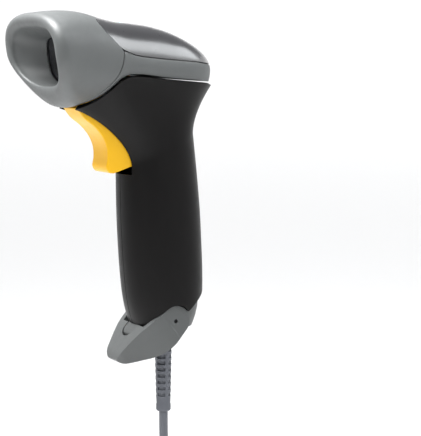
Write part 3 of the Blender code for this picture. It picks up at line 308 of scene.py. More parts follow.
def cover_rows(count, across):
    """Rows of the cover's left half, from its outline in to its spine."""
    edge = cover_edge(count)
    spine = np.clip(edge[:, 1], *COVER_SPINE)
    rows = []
    for f in np.linspace(1, 0, across):
        share = math.sin(f * math.pi / 2) ** (2 / CREST_POWER)
        x = edge[:, 0] * share
        t = spine + (edge[:, 1] - spine) * share
        ratio = np.clip(x / np.maximum(half_width(t), 1e-6), 0, 1)
        h = through(CREST, t) * (1 - ratio ** CREST_POWER) ** (1 / CREST_POWER)
        row = np.stack([x, t, h], -1)
        if f == 1:
            row[:, 2] = edge[:, 2]
        rows.append(row)
    return rows


def band_edges(front, back):
    """The left half of the band's two edges, top and bottom, from the tip of its lip to the rear."""
    angle = np.radians(np.linspace(BAND_TIP_ANGLE, 9.5, front))
    seam = head_ring(bumper_edge(angle) + GAP, angle)
    turn = np.linspace(0, 1, back)
    straight = back // 2
    t_top = np.concatenate([np.linspace(seam[-1, 1], REAR_ROUND_START, straight, endpoint=False),
                            rear_stations(back - straight)])
    top = skin(t_top, through(BAND_TOP, t_top))
    lip = np.linspace(BAND_BOTTOM[0, 0], -25.5 * MM, front)
    t_low = t_top + (-25.5 * MM - t_top[0]) * (1 - turn) ** 2
    t_low[-1] = REAR_END
    low_t = np.concatenate([lip, t_low[1:]])
    low = skin(low_t, through(BAND_BOTTOM, low_t))
    upper = np.concatenate([seam, top[1:]])
    upper[-1, 0] = low[-1, 0] = 0
    return upper, low


def band_rows(front, back, across, bulge=0.35 * MM):
    upper, low = band_edges(front, back)
    rows = []
    for f in np.linspace(0, 1, across):
        row = low + (upper - low) * f
        outward = np.stack([row[:, 0] / 22, np.maximum(row[:, 1], 0) / 28, 0 * row[:, 0]], -1) / MM
        swell = bulge * 4 * f * (1 - f)
        if f not in (0, 1):
            row[:, 0] = np.maximum(row[:, 0], skin(row[:, 1], row[:, 2])[:, 0] * (row[:, 0] > 0))
        rows.append(row + outward * swell)
    return rows


def grip_section(z, angle):
    """A point of the grip's oval at height z; angle 0 is the left side, -90 degrees the front."""
    wide, front, rear = (through(GRIP[:, [0, k]], z) for k in (1, 2, 3))
    c, s = power(np.cos(angle), 2 / GRIP_POWER), power(np.sin(angle), 2 / GRIP_POWER)
    return np.stack(np.broadcast_arrays(wide * c, (front + rear) / 2 + (rear - front) / 2 * s, z), -1)


def shell_rim(count):
    """The grip shell's top edge on the left, from the front under the bumper to the rear under the band."""
    low = BAND_BOTTOM - (0, SHELL_GAP)
    points = np.concatenate([UNDER_BUMPER, low])
    on_skin = skin(points[:, 0], points[:, 1])
    on_skin[:2, 0] = (0, 7.5 * MM)
    turn = np.linspace(0, math.pi / 2, 9)[1:]
    t = REAR_ROUND_START + (REAR_END - REAR_ROUND_START) * np.sin(turn) ** (2 / REAR_POWER)
    rear = skin(t, through(low, t))
    rear[-1, 0] = 0
    keep = on_skin[:, 1] < REAR_ROUND_START
    line = np.concatenate([on_skin[keep], rear])
    inset = 0.6 * MM
    line[:, 0] = np.maximum(line[:, 0] - inset, 0)
    line[-1, 1] -= inset
    return smooth_line(to_row(line), count)


def shell_rows(count, low, high):
    """Rows of the grip shell's left half from the cut above the cap to the rim under the head."""
    rim = shell_rim(count)
    rise = np.linspace(0, 1, count)
    angle = (rise - 0.5) * math.pi
    neck_z = FLARE_FRONT_Z + (FLARE_REAR_Z - FLARE_FRONT_Z) * rise ** 1.2
    neck = grip_section(neck_z, angle)
    foot_y = grip_section(np.full(count, -50 * MM), angle)[:, 1]
    cut_z = through(GRIP_CUT, foot_y)
    rows = [grip_section(cut_z + (neck_z - cut_z) * f, angle) for f in np.linspace(0, 1, low)]
    side = np.sin(rise * math.pi)
    pull = np.where(rise < 0.5, FLARE_PULL_FRONT, FLARE_PULL_REAR)
    pull = pull + (FLARE_PULL_SIDE - pull) * side
    start = np.stack([0 * rise, 0 * rise, pull], -1)
    forward, rearward = np.clip(1 - 2 * rise, 0, 1), np.clip(2 * rise - 1, 0, 1) ** 2
    out = np.stack([0.32 * side, -0.97 * forward + 0.72 * rearward, 0.9 * side + 0.05 + 0.6 * rearward], -1)
    end = out / np.linalg.norm(out, axis=1, keepdims=True) * pull[:, None]
    for f in np.linspace(0, 1, high + 1)[1:]:
        rows.append(neck * (1 + 2 * f) * (1 - f) ** 2 + rim * f * f * (3 - 2 * f)
                    + start * f * (1 - f) ** 2 - end * f * f * (1 - f))
    for row in rows:
        row[:, 0] = np.maximum(row[:, 0], SEAM_GAP / 2)
    return rows


# ---------------------------------------------------------------- materials

def mix_colours(tree, low, high, factor):
    node = tree.nodes.new("ShaderNodeMix")
    node.data_type = "RGBA"
    node.inputs[6].default_value = (*low, 1)
    node.inputs[7].default_value = (*high, 1)
    tree.links.new(factor, node.inputs[0])
    return node.outputs[2]


def noise_node(tree, place, scale, detail=3.0, rough=0.55, stretch=None):
    if stretch:
        mapping = tree.nodes.new("ShaderNodeMapping")
        mapping.inputs["Scale"].default_value = stretch
        tree.links.new(place, mapping.inputs["Vector"])
        place = mapping.outputs["Vector"]
    node = tree.nodes.new("ShaderNodeTexNoise")
    node.inputs["Scale"].default_value = scale
    node.inputs["Detail"].default_value = detail
    node.inputs["Roughness"].default_value = rough
    tree.links.new(place, node.inputs["Vector"])
    return node.outputs["Fac"]


def to_range(tree, value, low, high, from_low=0.0, from_high=1.0):
    node = tree.nodes.new("ShaderNodeMapRange")
    node.inputs["From Min"].default_value = from_low
    node.inputs["From Max"].default_value = from_high
    node.inputs["To Min"].default_value = low
    node.inputs["To Max"].default_value = high
    tree.links.new(value, node.inputs["Value"])
    return node.outputs["Result"]


def bump_node(tree, height, depth, before=None):
    node = tree.nodes.new("ShaderNodeBump")
    node.inputs["Strength"].default_value = 1.0
    node.inputs["Distance"].default_value = depth
    tree.links.new(height, node.inputs["Height"])
    if before:
        tree.links.new(before, node.inputs["Normal"])
    return node.outputs["Normal"]


def shades(colour, spread):
    return [min(c * (1 - spread), 1) for c in colour], [min(c * (1 + spread), 1) for c in colour]


def new_material(name, **values):
    """A Principled material, its shader and its object coordinates."""
    made = bpy.data.materials.new(name)
    made.use_nodes = True
    shader = made.node_tree.nodes["Principled BSDF"]
    for key, value in values.items():
        shader.inputs[key.replace("_", " ")].default_value = value
    place = made.node_tree.nodes.new("ShaderNodeTexCoord").outputs["Object"]
    return made, made.node_tree, shader, place


def moulded(name, colour, rough, spread=0.08, grain=1400, depth=0.00002, rough_spread=0.06, mottle=90,
            **values):
    """Moulded plastic or rubber: faint colour cloud, rubbed roughness, fine spark-eroded grain."""
    made, tree, shader, place = new_material(name, **values)
    cloud = noise_node(tree, place, mottle, 5)
    tree.links.new(mix_colours(tree, *shades(colour, spread), cloud), shader.inputs["Base Color"])
    rub = noise_node(tree, place, mottle * 2.7, 4)
    tree.links.new(to_range(tree, rub, rough - rough_spread, rough + rough_spread, 0.3, 0.7),
                   shader.inputs["Roughness"])
    fine = noise_node(tree, place, grain, 2, 0.6)
    tree.links.new(bump_node(tree, fine, depth), shader.inputs["Normal"])
    made.diffuse_color = (*colour, 1)
    return made


def brushed(name, colour, rough, stretch=(1, 1, 0.04), scale=2600, depth=0.000008, **values):
    """Metal with fine drawn or ground lines along one axis."""
    made, tree, shader, place = new_material(name, Metallic=1.0, **values)
    lines = noise_node(tree, place, scale, 2, 0.6, stretch)
    cloud = noise_node(tree, place, 220, 3)
    tree.links.new(mix_colours(tree, *shades(colour, 0.1), cloud), shader.inputs["Base Color"])
    tree.links.new(to_range(tree, lines, rough - 0.08, rough + 0.1, 0.3, 0.7), shader.inputs["Roughness"])
    tree.links.new(bump_node(tree, lines, depth), shader.inputs["Normal"])
    made.diffuse_color = (*colour, 1)
    return made


def circuit(name):
    """Green solder mask with raised copper tracks and tinned pads."""
    made, tree, shader, place = new_material(name)
    turn = tree.nodes.new("ShaderNodeMapping")
    turn.inputs["Rotation"].default_value = (math.pi / 2, 0, 0)
    tree.links.new(place, turn.inputs["Vector"])
    tracks = tree.nodes.new("ShaderNodeTexBrick")
    tracks.inputs["Scale"].default_value = 260
    tracks.inputs["Mortar Size"].default_value = 0.05
    tracks.inputs["Color1"].default_value = (0.012, 0.075, 0.03, 1)
    tracks.inputs["Color2"].default_value = (0.015, 0.09, 0.036, 1)
    tracks.inputs["Mortar"].default_value = (0.03, 0.16, 0.06, 1)
    tree.links.new(turn.outputs["Vector"], tracks.inputs["Vector"])
    pads = tree.nodes.new("ShaderNodeTexVoronoi")
    pads.inputs["Scale"].default_value = 420
    tree.links.new(place, pads.inputs["Vector"])
    on_pad = to_range(tree, pads.outputs["Distance"], 1.0, 0.0, 0.16, 0.2)
    mix = tree.nodes.new("ShaderNodeMix")
    mix.data_type = "RGBA"
    mix.inputs[7].default_value = (0.6, 0.58, 0.5, 1)
    tree.links.new(on_pad, mix.inputs[0])
    tree.links.new(tracks.outputs["Color"], mix.inputs[6])
    tree.links.new(mix.outputs[2], shader.inputs["Base Color"])
    tree.links.new(to_range(tree, noise_node(tree, place, 500), 0.3, 0.5), shader.inputs["Roughness"])
    tree.links.new(bump_node(tree, tracks.outputs["Fac"], 0.00004), shader.inputs["Normal"])
    return made


# The second grey is a painted highlight: a pale grey put on bevelled edges and rims to stand in for light
# caught along them.
GREY, PAINTED_HIGHLIGHT_GREY = (0.082, 0.087, 0.087), (0.6, 0.61, 0.61)
# The second black is a painted highlight: a lighter black put on the shell's bevels to stand in for light
# caught along them.
BLACK, BLACK_PAINTED_HIGHLIGHT = (0.0035, 0.0032, 0.0032), (0.03, 0.029, 0.028)
CABLE_GREY = (0.082, 0.087, 0.102)
STEEL, DARK = (0.56, 0.56, 0.57), (0.014, 0.014, 0.016)


# A factor below 1 darkens the grey: a painted shade, making a darker copy of the same plastic to offset
# bounce light from the floor.
def soft_grey(name, rough=0.52, painted_shade_factor=1.0):
    return moulded(name, tuple(c * painted_shade_factor for c in GREY), rough, spread=0.07, grain=2400, depth=0.000018)


# Pale grey for bevels and rims: a painted highlight in place of the light caught along the edges.
def painted_highlight_edge(name):
    return moulded(name, PAINTED_HIGHLIGHT_GREY, 0.38, spread=0.06, grain=2400, depth=0.00001)


# ---------------------------------------------------------------- mesh helpers

def finish_piece(piece, materials, body, nodes=(), angle=35):
    """Shades the piece, gives it its materials and ties it to the frame."""
    piece.data.materials.clear()
    for made in materials:
        piece.data.materials.append(made)
    if piece.type == "MESH":
        piece.data.shade_smooth()
        piece.data.set_sharp_from_angle(angle=math.radians(angle))
    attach(piece, body)
    if nodes:
        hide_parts(*nodes)
    return piece


def object_from(name, bm):
    bmesh.ops.recalc_face_normals(bm, faces=bm.faces)
    mesh = bpy.data.meshes.new(name)
    bm.to_mesh(mesh)
    bm.free()
    made = bpy.data.objects.new(name, mesh)
    bpy.context.scene.collection.objects.link(made)
    return made


def grid_object(name, rows, closed=False, cap_ends=False, weld=0.01 * MM):
    """A surface through rows of points; closed joins each row's ends, cap_ends fills the outer rows."""
    bm = bmesh.new()
    lines = [[bm.verts.new(point) for point in row] for row in rows]
    for low, high in zip(lines, lines[1:]):
        for i in range(len(low) if closed else len(low) - 1):
            j = (i + 1) % len(low)
            bm.faces.new((low[i], low[j], high[j], high[i]))
    if cap_ends:
        bm.faces.new(lines[0])
        bm.faces.new(lines[-1])
    bmesh.ops.remove_doubles(bm, verts=bm.verts, dist=weld)
    return object_from(name, bm)


def prism_object(name, pairs):
    """Closed prisms in one mesh, each between two rings with the same number of points."""
    bm = bmesh.new()
    for pair in pairs:
        first, last = [[bm.verts.new(point) for point in ring] for ring in pair]
        bm.faces.new(first)
        bm.faces.new(last)
        for i in range(len(first)):
            j = (i + 1) % len(first)
            bm.faces.new((first[i], first[j], last[j], last[i]))
    return object_from(name, bm)


def side_prism(name, outline, half):
    """A prism of an outline in (y, z), thick along X."""
    return prism_object(name, [[[(x, y, z) for y, z in outline] for x in (-half, half)]])


def rods_object(name, rods, segments=32):
    """Round rods in one mesh, each as (radius, from, to)."""
    bm = bmesh.new()
    for radius, start, end in rods:
        start, end = Vector(start), Vector(end)
        turn = (end - start).to_track_quat("Z", "Y").to_matrix()
        made = bmesh.ops.create_cone(bm, cap_ends=True, segments=segments, radius1=radius, radius2=radius,
                                     depth=(end - start).length)["verts"]
        bmesh.ops.rotate(bm, verts=made, matrix=turn)
        bmesh.ops.translate(bm, verts=made, vec=(start + end) / 2)
    return object_from(name, bm)


def turned_object(name, profile, steps=72, centre=(0, 0, 0)):
    """A closed solid turned about Z from a profile of (radius, z) that starts and ends on the axis."""
    rows = []
    for radius, z in profile:
        angle = np.linspace(0, 2 * math.pi, steps, endpoint=False)
        ring = np.stack([radius * np.cos(angle), radius * np.sin(angle), 0 * angle + z], -1)
        rows.append(ring + np.array(centre))
    return grid_object(name, rows, closed=True)


def modify(target, kind, **settings):
    made = target.modifiers.new(kind.lower(), kind)
    for key, value in settings.items():
        setattr(made, key, value)
    return made


def apply_modifiers(target):
    """Bakes the modifiers into the mesh."""
    graph = bpy.context.evaluated_depsgraph_get()
    mesh = bpy.data.meshes.new_from_object(target.evaluated_get(graph))
    target.modifiers.clear()
    target.data = mesh
    return target


def combine(target, operation, tool):
    """Applies a Boolean with the tool, and removes the tool."""
    modify(target, "BOOLEAN", operation=operation, object=tool)
    apply_modifiers(target)
    bpy.data.objects.remove(tool)
    return target


def round_edges(target, width, segments=2, angle=40, material=-1):
    modify(target, "BEVEL", width=width, segments=segments, limit_method="ANGLE",
           angle_limit=math.radians(angle), material=material, miter_outer="MITER_ARC")


def thicken(target, thickness=WALL, rim=0):
    modify(target, "SOLIDIFY", thickness=thickness, offset=-1, use_even_offset=True, material_offset_rim=rim)


# ---------------------------------------------------------------- cable

def coil_route():
    """The wound stretch: three turns side by side on each of four layers, outermost layer first."""
    step = 2 * CABLE_RADIUS
    tracks = []
    for layer in range(COIL_LAYERS):
        radius = COIL_RADIUS + ((COIL_LAYERS - 1) / 2 - layer) * step
        columns = [step, 0, -step] if layer % 2 == 0 else [-step, 0, step]
        tracks += [(x, radius) for x in columns]
    tracks.append((TAIL_ROUTE[0, 0], tracks[-1][1]))
    per_turn = 40
    points = []
    for turn in range(len(tracks) - 1):
        (x, radius), (next_x, next_radius) = tracks[turn:turn + 2]
        for k in range(per_turn):
            f = k / per_turn
            shift = np.clip((f - 0.62) / 0.26, 0, 1)
            shift = shift * shift * (3 - 2 * shift)
            here = radius + (next_radius - radius) * shift
            angle = 2 * math.pi * f
            turned = (x + (next_x - x) * shift, -here * math.cos(angle), -here * math.sin(angle))
            points.append(COIL_CENTRE + turned)
    return np.array(points[:-3])


def make_cable():
    """The whole cable as one curve: down from the boot, round its coil and down to the plug."""
    down = smooth_line(CABLE_ROUTE, 34)
    route = np.concatenate([down, coil_route()])
    tail = smooth_line(TAIL_ROUTE, 18)
    start, end = route[-1], tail[2]
    run = np.linalg.norm(end - start)
    leave = (route[-1] - route[-2]) / np.linalg.norm(route[-1] - route[-2]) * run
    arrive = (tail[3] - tail[2]) / np.linalg.norm(tail[3] - tail[2]) * run
    bridge = []
    for f in np.linspace(0, 1, 7)[1:-1]:
        spread = start * (1 + 2 * f) * (1 - f) ** 2 + end * f * f * (3 - 2 * f)
        bridge.append(spread + leave * f * (1 - f) ** 2 - arrive * f * f * (1 - f))
    route = np.concatenate([route, bridge, tail[2:]])
    curve = bpy.data.curves.new("usb_cable", "CURVE")
    curve.dimensions = "3D"
    curve.bevel_depth = CABLE_RADIUS
    curve.bevel_resolution = 5
    curve.use_fill_caps = True
    spline = curve.splines.new("POLY")
    spline.points.add(len(route) - 1)
    for point, place in zip(spline.points, route):
        point.co = (*place, 1)
    cable = bpy.data.objects.new("usb_cable", curve)
    bpy.context.scene.collection.objects.link(cable)
    jacket = moulded("cable_jacket", CABLE_GREY, 0.42, spread=0.06, grain=1800, depth=0.000012)
    finish_piece(cable, [jacket], "grip", ("cable", "cable_coil", "cable_tail"))
    return cable, route


def superellipse(half_x, half_y, exponent, count):
    angle = np.linspace(0, 2 * math.pi, count, endpoint=False)
    across, along = power(np.cos(angle), 2 / exponent), power(np.sin(angle), 2 / exponent)
    return np.stack([half_x * across, half_y * along], -1)


def make_plug():
    """USB plug: a ribbed overmould, a folded metal shell with its latch holes, and the contact tongue."""
    x, y, top = TAIL_ROUTE[-1, 0], TAIL_ROUTE[-1, 1], PLUG_TOP
    z = np.concatenate([[0, 0, 0.4, 1.2], np.linspace(2.2, 21.8, 50), [22.8, 23.6, 24, 24]]) * MM
    size = np.concatenate([[0.001, 0.80, 0.9, 0.97], np.ones(50), [0.97, 0.92, 0.86, 0.001]])
    rows = []
    for down, share in zip(z, size):
        neck = np.clip((down / MM - 7) / 5, 0, 1)
        wide = (6.2 + 1.8 * neck * neck * (3 - 2 * neck)) * MM
        rib = 0
        if RIBS_START < down < RIBS_END:
            rib = RIB_DEPTH * (0.5 - 0.5 * math.cos(2 * math.pi * down / RIB_PITCH))
        ring = superellipse((wide - rib) * share, (4.5 * MM - rib) * share, 5, 56)
        rows.append([(x + a, y + b, top - down) for a, b in ring])
    body = grid_object("usb_overmould_piece", rows, closed=True)
    finish_piece(body, [moulded("usb_overmould_look", CABLE_GREY, 0.5, grain=2200, depth=0.00002)], "grip",
                 ("usb_overmould",))
    low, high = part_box("usb_shell")
    low, high = np.array(low), np.array(high)
    middle, half = (low + high) / 2, (high - low) / 2
    rows = [[(middle[0] + a * f, middle[1] + b * f, z) for a, b in superellipse(half[0], half[1], 14, 64)]
            for z, f in ((high[2], 1), (low[2] + 0.8 * MM, 1), (low[2] + 0.3 * MM, 0.99), (low[2], 0.97))]
    shell = grid_object("usb_shell_piece", rows, closed=True)
    thicken(shell, 0.3 * MM)
    apply_modifiers(shell)
    holes = prism_object("latch_holes", [
        [[(middle[0] + sx * 2.9 * MM + a, yy, middle[2] + 0.6 * MM + b) for a, b in
          ((-1.2 * MM, -1 * MM), (1.2 * MM, -1 * MM), (1.2 * MM, 1 * MM), (-1.2 * MM, 1 * MM))]
         for yy in (middle[1] - 5 * MM, middle[1] + 5 * MM)] for sx in (-1, 1)])
    combine(shell, "DIFFERENCE", holes)
    finish_piece(shell, [brushed("usb_shell_look", (0.6, 0.6, 0.61), 0.24)], "grip", ("usb_shell",))
    return [body, shell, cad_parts["usb_tongue"]]


def make_tie():
    """Hook-and-loop strap round the coil, with its free end lapped over."""
    across, deep = COIL_ROWS * CABLE_RADIUS + 0.45 * MM, COIL_LAYERS * CABLE_RADIUS + 0.45 * MM
    centre = COIL_CENTRE + (0, 0, COIL_RADIUS)
    ring = superellipse(across, deep, 5, 72)
    rows = []
    for side in (-1, 1):
        rows.append([centre + (a, side * 2.9 * MM, b) for a, b in ring])
    strap = grid_object("cable_tie_piece", rows, closed=True)
    modify(strap, "SOLIDIFY", thickness=1.1 * MM, offset=1)
    round_edges(strap, 0.3 * MM, 2)
    lap = superellipse(across + 1.15 * MM, deep + 1.15 * MM, 5, 72)[2:22]
    rows = [[centre + (a, side * 2.7 * MM, b) for a, b in lap] for side in (-1, 1)]
    tab = grid_object("cable_tie_end", rows)
    modify(tab, "SOLIDIFY", thickness=0.45 * MM, offset=1)
    look = moulded("hook_and_loop", (0.02, 0.02, 0.022), 0.9, spread=0.3, grain=1500, depth=0.0003,
                   rough_spread=0.03, mottle=1300, Sheen_Weight=0.4)
    finish_piece(strap, [look], "grip", ("cable_tie",))
    finish_piece(tab, [look], "grip")
    return [strap, tab]


cable, cable_route = make_cable()
on_cable = make_plug() + make_tie()


# ---------------------------------------------------------------- head

def make_head():
    bumper = grid_object("bumper", [to_row(row) for row in bumper_rows(160, 26, 22, 16)], closed=True)
    # The bumper's rims and bevels take the second material, the painted edge highlight.
    thicken(bumper, WALL, 1)
    round_edges(bumper, 0.45 * MM, 3, 50, 1)
    looks = [soft_grey("bumper_rubber", 0.5), painted_highlight_edge("bumper_edge")]
    finish_piece(bumper, looks, "grip", ("nose_bumper",))

    cover = grid_object("cover", [to_row(row) for row in cover_rows(110, 30)])
    modify(cover, "MIRROR", merge_threshold=0.00001)
    thicken(cover, 1.8 * MM)
    apply_modifiers(cover)
    hole_ends = to_row(mm([(0, -21, 14), (0, -21, 24)]))
    combine(cover, "DIFFERENCE", rods_object("lens_hole", [(3.3 * MM, *hole_ends)], 64))
    round_edges(cover, 0.25 * MM, 3, 50)
    gloss = moulded("cover_gloss", (0.007, 0.007, 0.009), 0.3, spread=0.15, grain=300, depth=0.000002,
                    rough_spread=0.03, IOR=2.0, Coat_Weight=1.0, Coat_Roughness=0.2, Coat_IOR=1.5)
    finish_piece(cover, [gloss], "grip", ("top_cover",))

    band = grid_object("band", [to_row(row) for row in band_rows(28, 84, 9)])
    modify(band, "MIRROR", merge_threshold=0.00001)
    thicken(band, 1.6 * MM, 0)
    # The band's bevels take the second material, the painted edge highlight.
    round_edges(band, 0.35 * MM, 3, 50, 1)
    finish_piece(band, [soft_grey("band_plastic", 0.5), painted_highlight_edge("band_edge")], "grip", ("side_band",))

    angle = np.linspace(0, 2 * math.pi, 96, endpoint=False)
    shape = (THROAT[0] * 1.05, THROAT[1] * 1.05, THROAT[2] * 1.05, *THROAT[3:])
    pane = prism_object("window_pane", [[to_row(lens_ring(shape, angle, back)) for back in WINDOW_FACES]])
    round_edges(pane, 0.3 * MM, 2, 50)
    glass = moulded("window_look", (0.006, 0.006, 0.008), 0.08, spread=0.2, grain=500, depth=0.000001,
                    rough_spread=0.03, Coat_Weight=0.5)
    finish_piece(pane, [glass], "grip", ("scan_window",))

    rows = []
    turn = np.linspace(0, 2 * math.pi, 48, endpoint=False)
    for radius, h in ((0.01, 19.35), (1.0, 19.33), (1.9, 19.26), (2.5, 19.15), (2.85, 18.95), (3.0, 18.6),
                      (3.0, 15.2), (0.01, 15.2)):
        ring = np.stack([radius * np.cos(turn), -21 + radius * np.sin(turn), 0 * turn + h], -1)
        rows.append(to_row(ring * MM))
    lens = grid_object("light_lens", rows, closed=True, cap_ends=True)
    clear = moulded("lens_look", (0.62, 0.66, 0.66), 0.16, spread=0.05, grain=900, depth=0.000004,
                    Subsurface_Weight=0.3, Coat_Weight=0.5)
    finish_piece(lens, [clear], "grip", ("indicator_lens",))


# ---------------------------------------------------------------- grip

def foot_to_row(s, n):
    """A point of the foot's side view, as (y, z)."""
    y, z = FOOT_PIVOT
    c, d = math.cos(FOOT_SLOPE), math.sin(FOOT_SLOPE)
    return y - s * c - n * d, z - s * d + n * c


def foot_outline(grow=0.0, fine=3):
    """Side outline of the foot in (distance to the toe, height), with the round end about the pivot."""
    turn = np.radians(np.linspace(-100, -262, 11 * fine))
    end = (FOOT_END_RADIUS + grow) * np.stack([np.cos(turn), np.sin(turn)], -1)
    body = smooth_line(np.concatenate([FOOT_TOP, FOOT_UNDER]), 18 * fine)
    away = body - (15 * MM, -1 * MM)
    body = body + away / np.linalg.norm(away, axis=1, keepdims=True) * grow
    return np.concatenate([end, body])


def foot_side_prism(name, outline, half):
    return side_prism(name, [foot_to_row(s, n) for s, n in outline], half)


def plan_prism(name, plan, low, high):
    """A prism of a plan outline of the foot in (x, distance to the toe), between two heights."""
    return prism_object(name, [[[(x, *foot_to_row(s, n)) for x, s in plan] for n in (low, high)]])


def foot_plan(shrink=0.0, reach=0.0):
    s = np.concatenate([np.linspace(-9, 2, 3) * MM, np.linspace(3, 33.2, 30) * MM])
    line = np.stack([through(FOOT_HALF_WIDTH, s) - shrink, s + reach], -1)
    return np.concatenate([line, line[::-1] * (-1, 1)])


def notch_outline(half, end):
    turn = np.radians(np.linspace(0, 180, 25))
    round_end = [(half * math.cos(a), end - half + half * math.sin(a)) for a in turn]
    return [(half, 0)] + round_end + [(-half, 0)]


def make_foot():
    foot = foot_side_prism("foot_piece", foot_outline(), 20 * MM)
    combine(foot, "INTERSECT", plan_prism("plan", foot_plan(), -20 * MM, 20 * MM))
    top = smooth_line(FOOT_TOP[:-1], 20) - (0, FOOT_WALL)
    hollow = [(-12 * MM, -20 * MM), (-12 * MM, 20 * MM), (FOOT_ROOF_START, 20 * MM),
              (FOOT_ROOF_START, through(top, FOOT_ROOF_START))]
    hollow += [(s, n) for s, n in top if FOOT_ROOF_START < s < 29 * MM]
    hollow += [(29.4 * MM, -1 * MM), (27 * MM, -20 * MM)]
    inside = foot_side_prism("hollow", hollow, 20 * MM)
    narrow = foot_plan(shrink=16 * MM - CHEEK_INSIDE, reach=-1.6 * MM)
    narrow[[0, -1], 1] = -14 * MM
    combine(inside, "INTERSECT", plan_prism("hollow_plan", narrow, -30 * MM, 30 * MM))
    combine(foot, "DIFFERENCE", inside)
    combine(foot, "DIFFERENCE", plan_prism("notch", notch_outline(NOTCH_HALF_WIDTH, NOTCH_END), 0, 20 * MM))
    bore = rods_object("bore", [(1.05 * MM, (-20 * MM, *FOOT_PIVOT), (20 * MM, *FOOT_PIVOT))], 32)
    combine(foot, "DIFFERENCE", bore)
    # The foot's bevels take the second material, the painted edge highlight.
    round_edges(foot, 0.5 * MM, 3, 42, 1)
    # The foot's grey is the same plastic darkened to 0.8: painted shade against the floor's bounce light.
    finish_piece(foot, [soft_grey("foot_plastic_painted_shade", 0.5, 0.8), painted_highlight_edge("foot_edge_painted_highlight")], "foot", ("foot",))


def make_cap():
    angle = np.linspace(-math.pi, math.pi, 112, endpoint=False)
    rows = [grip_section(np.full(len(angle), z * MM), angle) for z in CAP_HEIGHTS]
    base, middle = grip_section(np.full(len(angle), -60 * MM), angle), np.array([0, CABLE_Y, 0])
    for z, share in CAP_FLOOR:
        level = middle + (base - middle) * share
        level[:, 2] = z * MM
        rows.append(level)
    cap = grid_object("cap", rows, closed=True, cap_ends=True)
    half, front, rear = CAP_ROOM
    turn = np.linspace(0, 2 * math.pi, 40, endpoint=False)
    x = half * power(np.cos(turn), 0.55)
    y = (front + rear) / 2 + (rear - front) / 2 * power(np.sin(turn), 0.55)
    room = [list(zip(x, y, 0 * x + z)) for z in (CAP_ROOM_FLOOR, -20 * MM)]
    combine(cap, "DIFFERENCE", prism_object("room", [room]))
    combine(cap, "DIFFERENCE", cheek_cutter())
    reach = CHEEK_PLATE + GAP
    boxes = [[[(side * a, y, z) for y, z in mm([(-17, -53), (7, -53), (7, -83), (-17, -83)])]
              for a in (reach, reach + 10 * MM)] for side in (1, -1)]
    combine(cap, "DIFFERENCE", prism_object("toe_room", boxes))
    combine(cap, "DIFFERENCE", side_prism("wall_room", foot_sweep(), 24 * MM))
    hole = rods_object("boot_hole", [(4.9 * MM, (0, CABLE_Y, -54 * MM), (0, CABLE_Y, -80 * MM))], 48)
    combine(cap, "DIFFERENCE", hole)
    tongue = foot_side_prism("tongue", TONGUE, TONGUE_HALF_WIDTH)
    plan = notch_outline(TONGUE_HALF_WIDTH, NOTCH_END - TONGUE_GAP)
    combine(tongue, "INTERSECT", plan_prism("tongue_plan", plan, 0, 20 * MM))
    combine(cap, "UNION", tongue)
    line = np.concatenate([[(-30 * MM, -54.6 * MM)], smooth_line(GRIP_CUT, 40), [(40 * MM, -37 * MM)]])
    above = np.concatenate([line - (0, 0.5 * MM), [(40 * MM, 0), (-30 * MM, 0)]])
    combine(cap, "DIFFERENCE", side_prism("above", above, 30 * MM))
    bore = rods_object("pin_bore", [(1.05 * MM, (-20 * MM, *FOOT_PIVOT), (20 * MM, *FOOT_PIVOT))], 32)
    combine(cap, "DIFFERENCE", bore)
    # The cap's bevels take the second material, the painted edge highlight.
    round_edges(cap, 0.3 * MM, 2, 45, 1)
    # The cap's grey is the same plastic darkened to 0.7: partly the cap's own slightly darker grey, partly
    # painted shade against the floor's bounce light.
    finish_piece(cap, [soft_grey("cap_plastic_darker_and_painted_shade", 0.5, 0.7), painted_highlight_edge("cap_edge_painted_highlight")], "grip", ("bottom_cap",))


def foot_sweep(reach=13.2 * MM, far=40 * MM, first=168, last=248):
    """The (y, z) sector that the foot's top wall sweeps in front of the cap. Angles are in degrees."""
    y, z = FOOT_PIVOT
    turns = np.radians(np.linspace(first, last, 33))
    near = [(y + reach * math.cos(a), z + reach * math.sin(a)) for a in turns]
    outer = [(y + far * math.cos(a), z + far * math.sin(a)) for a in turns[::-1]]
    return near + outer


def cheek_cutter():
    """Room for the foot's cheeks beside the end of the grip."""
    outline = [foot_to_row(s, n) for s, n in foot_outline(CHEEK_ROOM)]
    pairs = [[[(side * x, *point) for point in outline] for x in (CHEEK_PLATE, 22 * MM)] for side in (-1, 1)]
    return prism_object("cheek_room", pairs)


def make_shells():
    look = moulded("grip_plastic", BLACK, 0.36, spread=0.12, grain=1700, depth=0.000022, rough_spread=0.05,
                   Specular_IOR_Level=0.14)
    # The edge material is a painted highlight on the shell's bevels.
    edge = moulded("grip_edge_painted_highlight", BLACK_PAINTED_HIGHLIGHT, 0.3, spread=0.1, grain=1700, depth=0.00001)
    for name, side in (("grip_shell_left", 1), ("grip_shell_right", -1)):
        shell = grid_object(name + "_piece", [row * (side, 1, 1) for row in shell_rows(84, 30, 34)])
        thicken(shell, WALL, 0)
        apply_modifiers(shell)
        combine(shell, "DIFFERENCE", side_prism("slot", SLOT, SLOT_HALF_WIDTH))
        combine(shell, "DIFFERENCE", cheek_cutter())
        if side < 0:
            wells = [(2.6 * MM, (-12.7 * MM, y, z), (-20 * MM, y, z)) for y, z in SHELL_SCREWS]
            combine(shell, "DIFFERENCE", rods_object("wells", wells, 40))
        # The bevels take the second material, the painted edge highlight.
        round_edges(shell, 0.3 * MM, 2, 50, 1)
        finish_piece(shell, [look, edge], "grip", (name,))


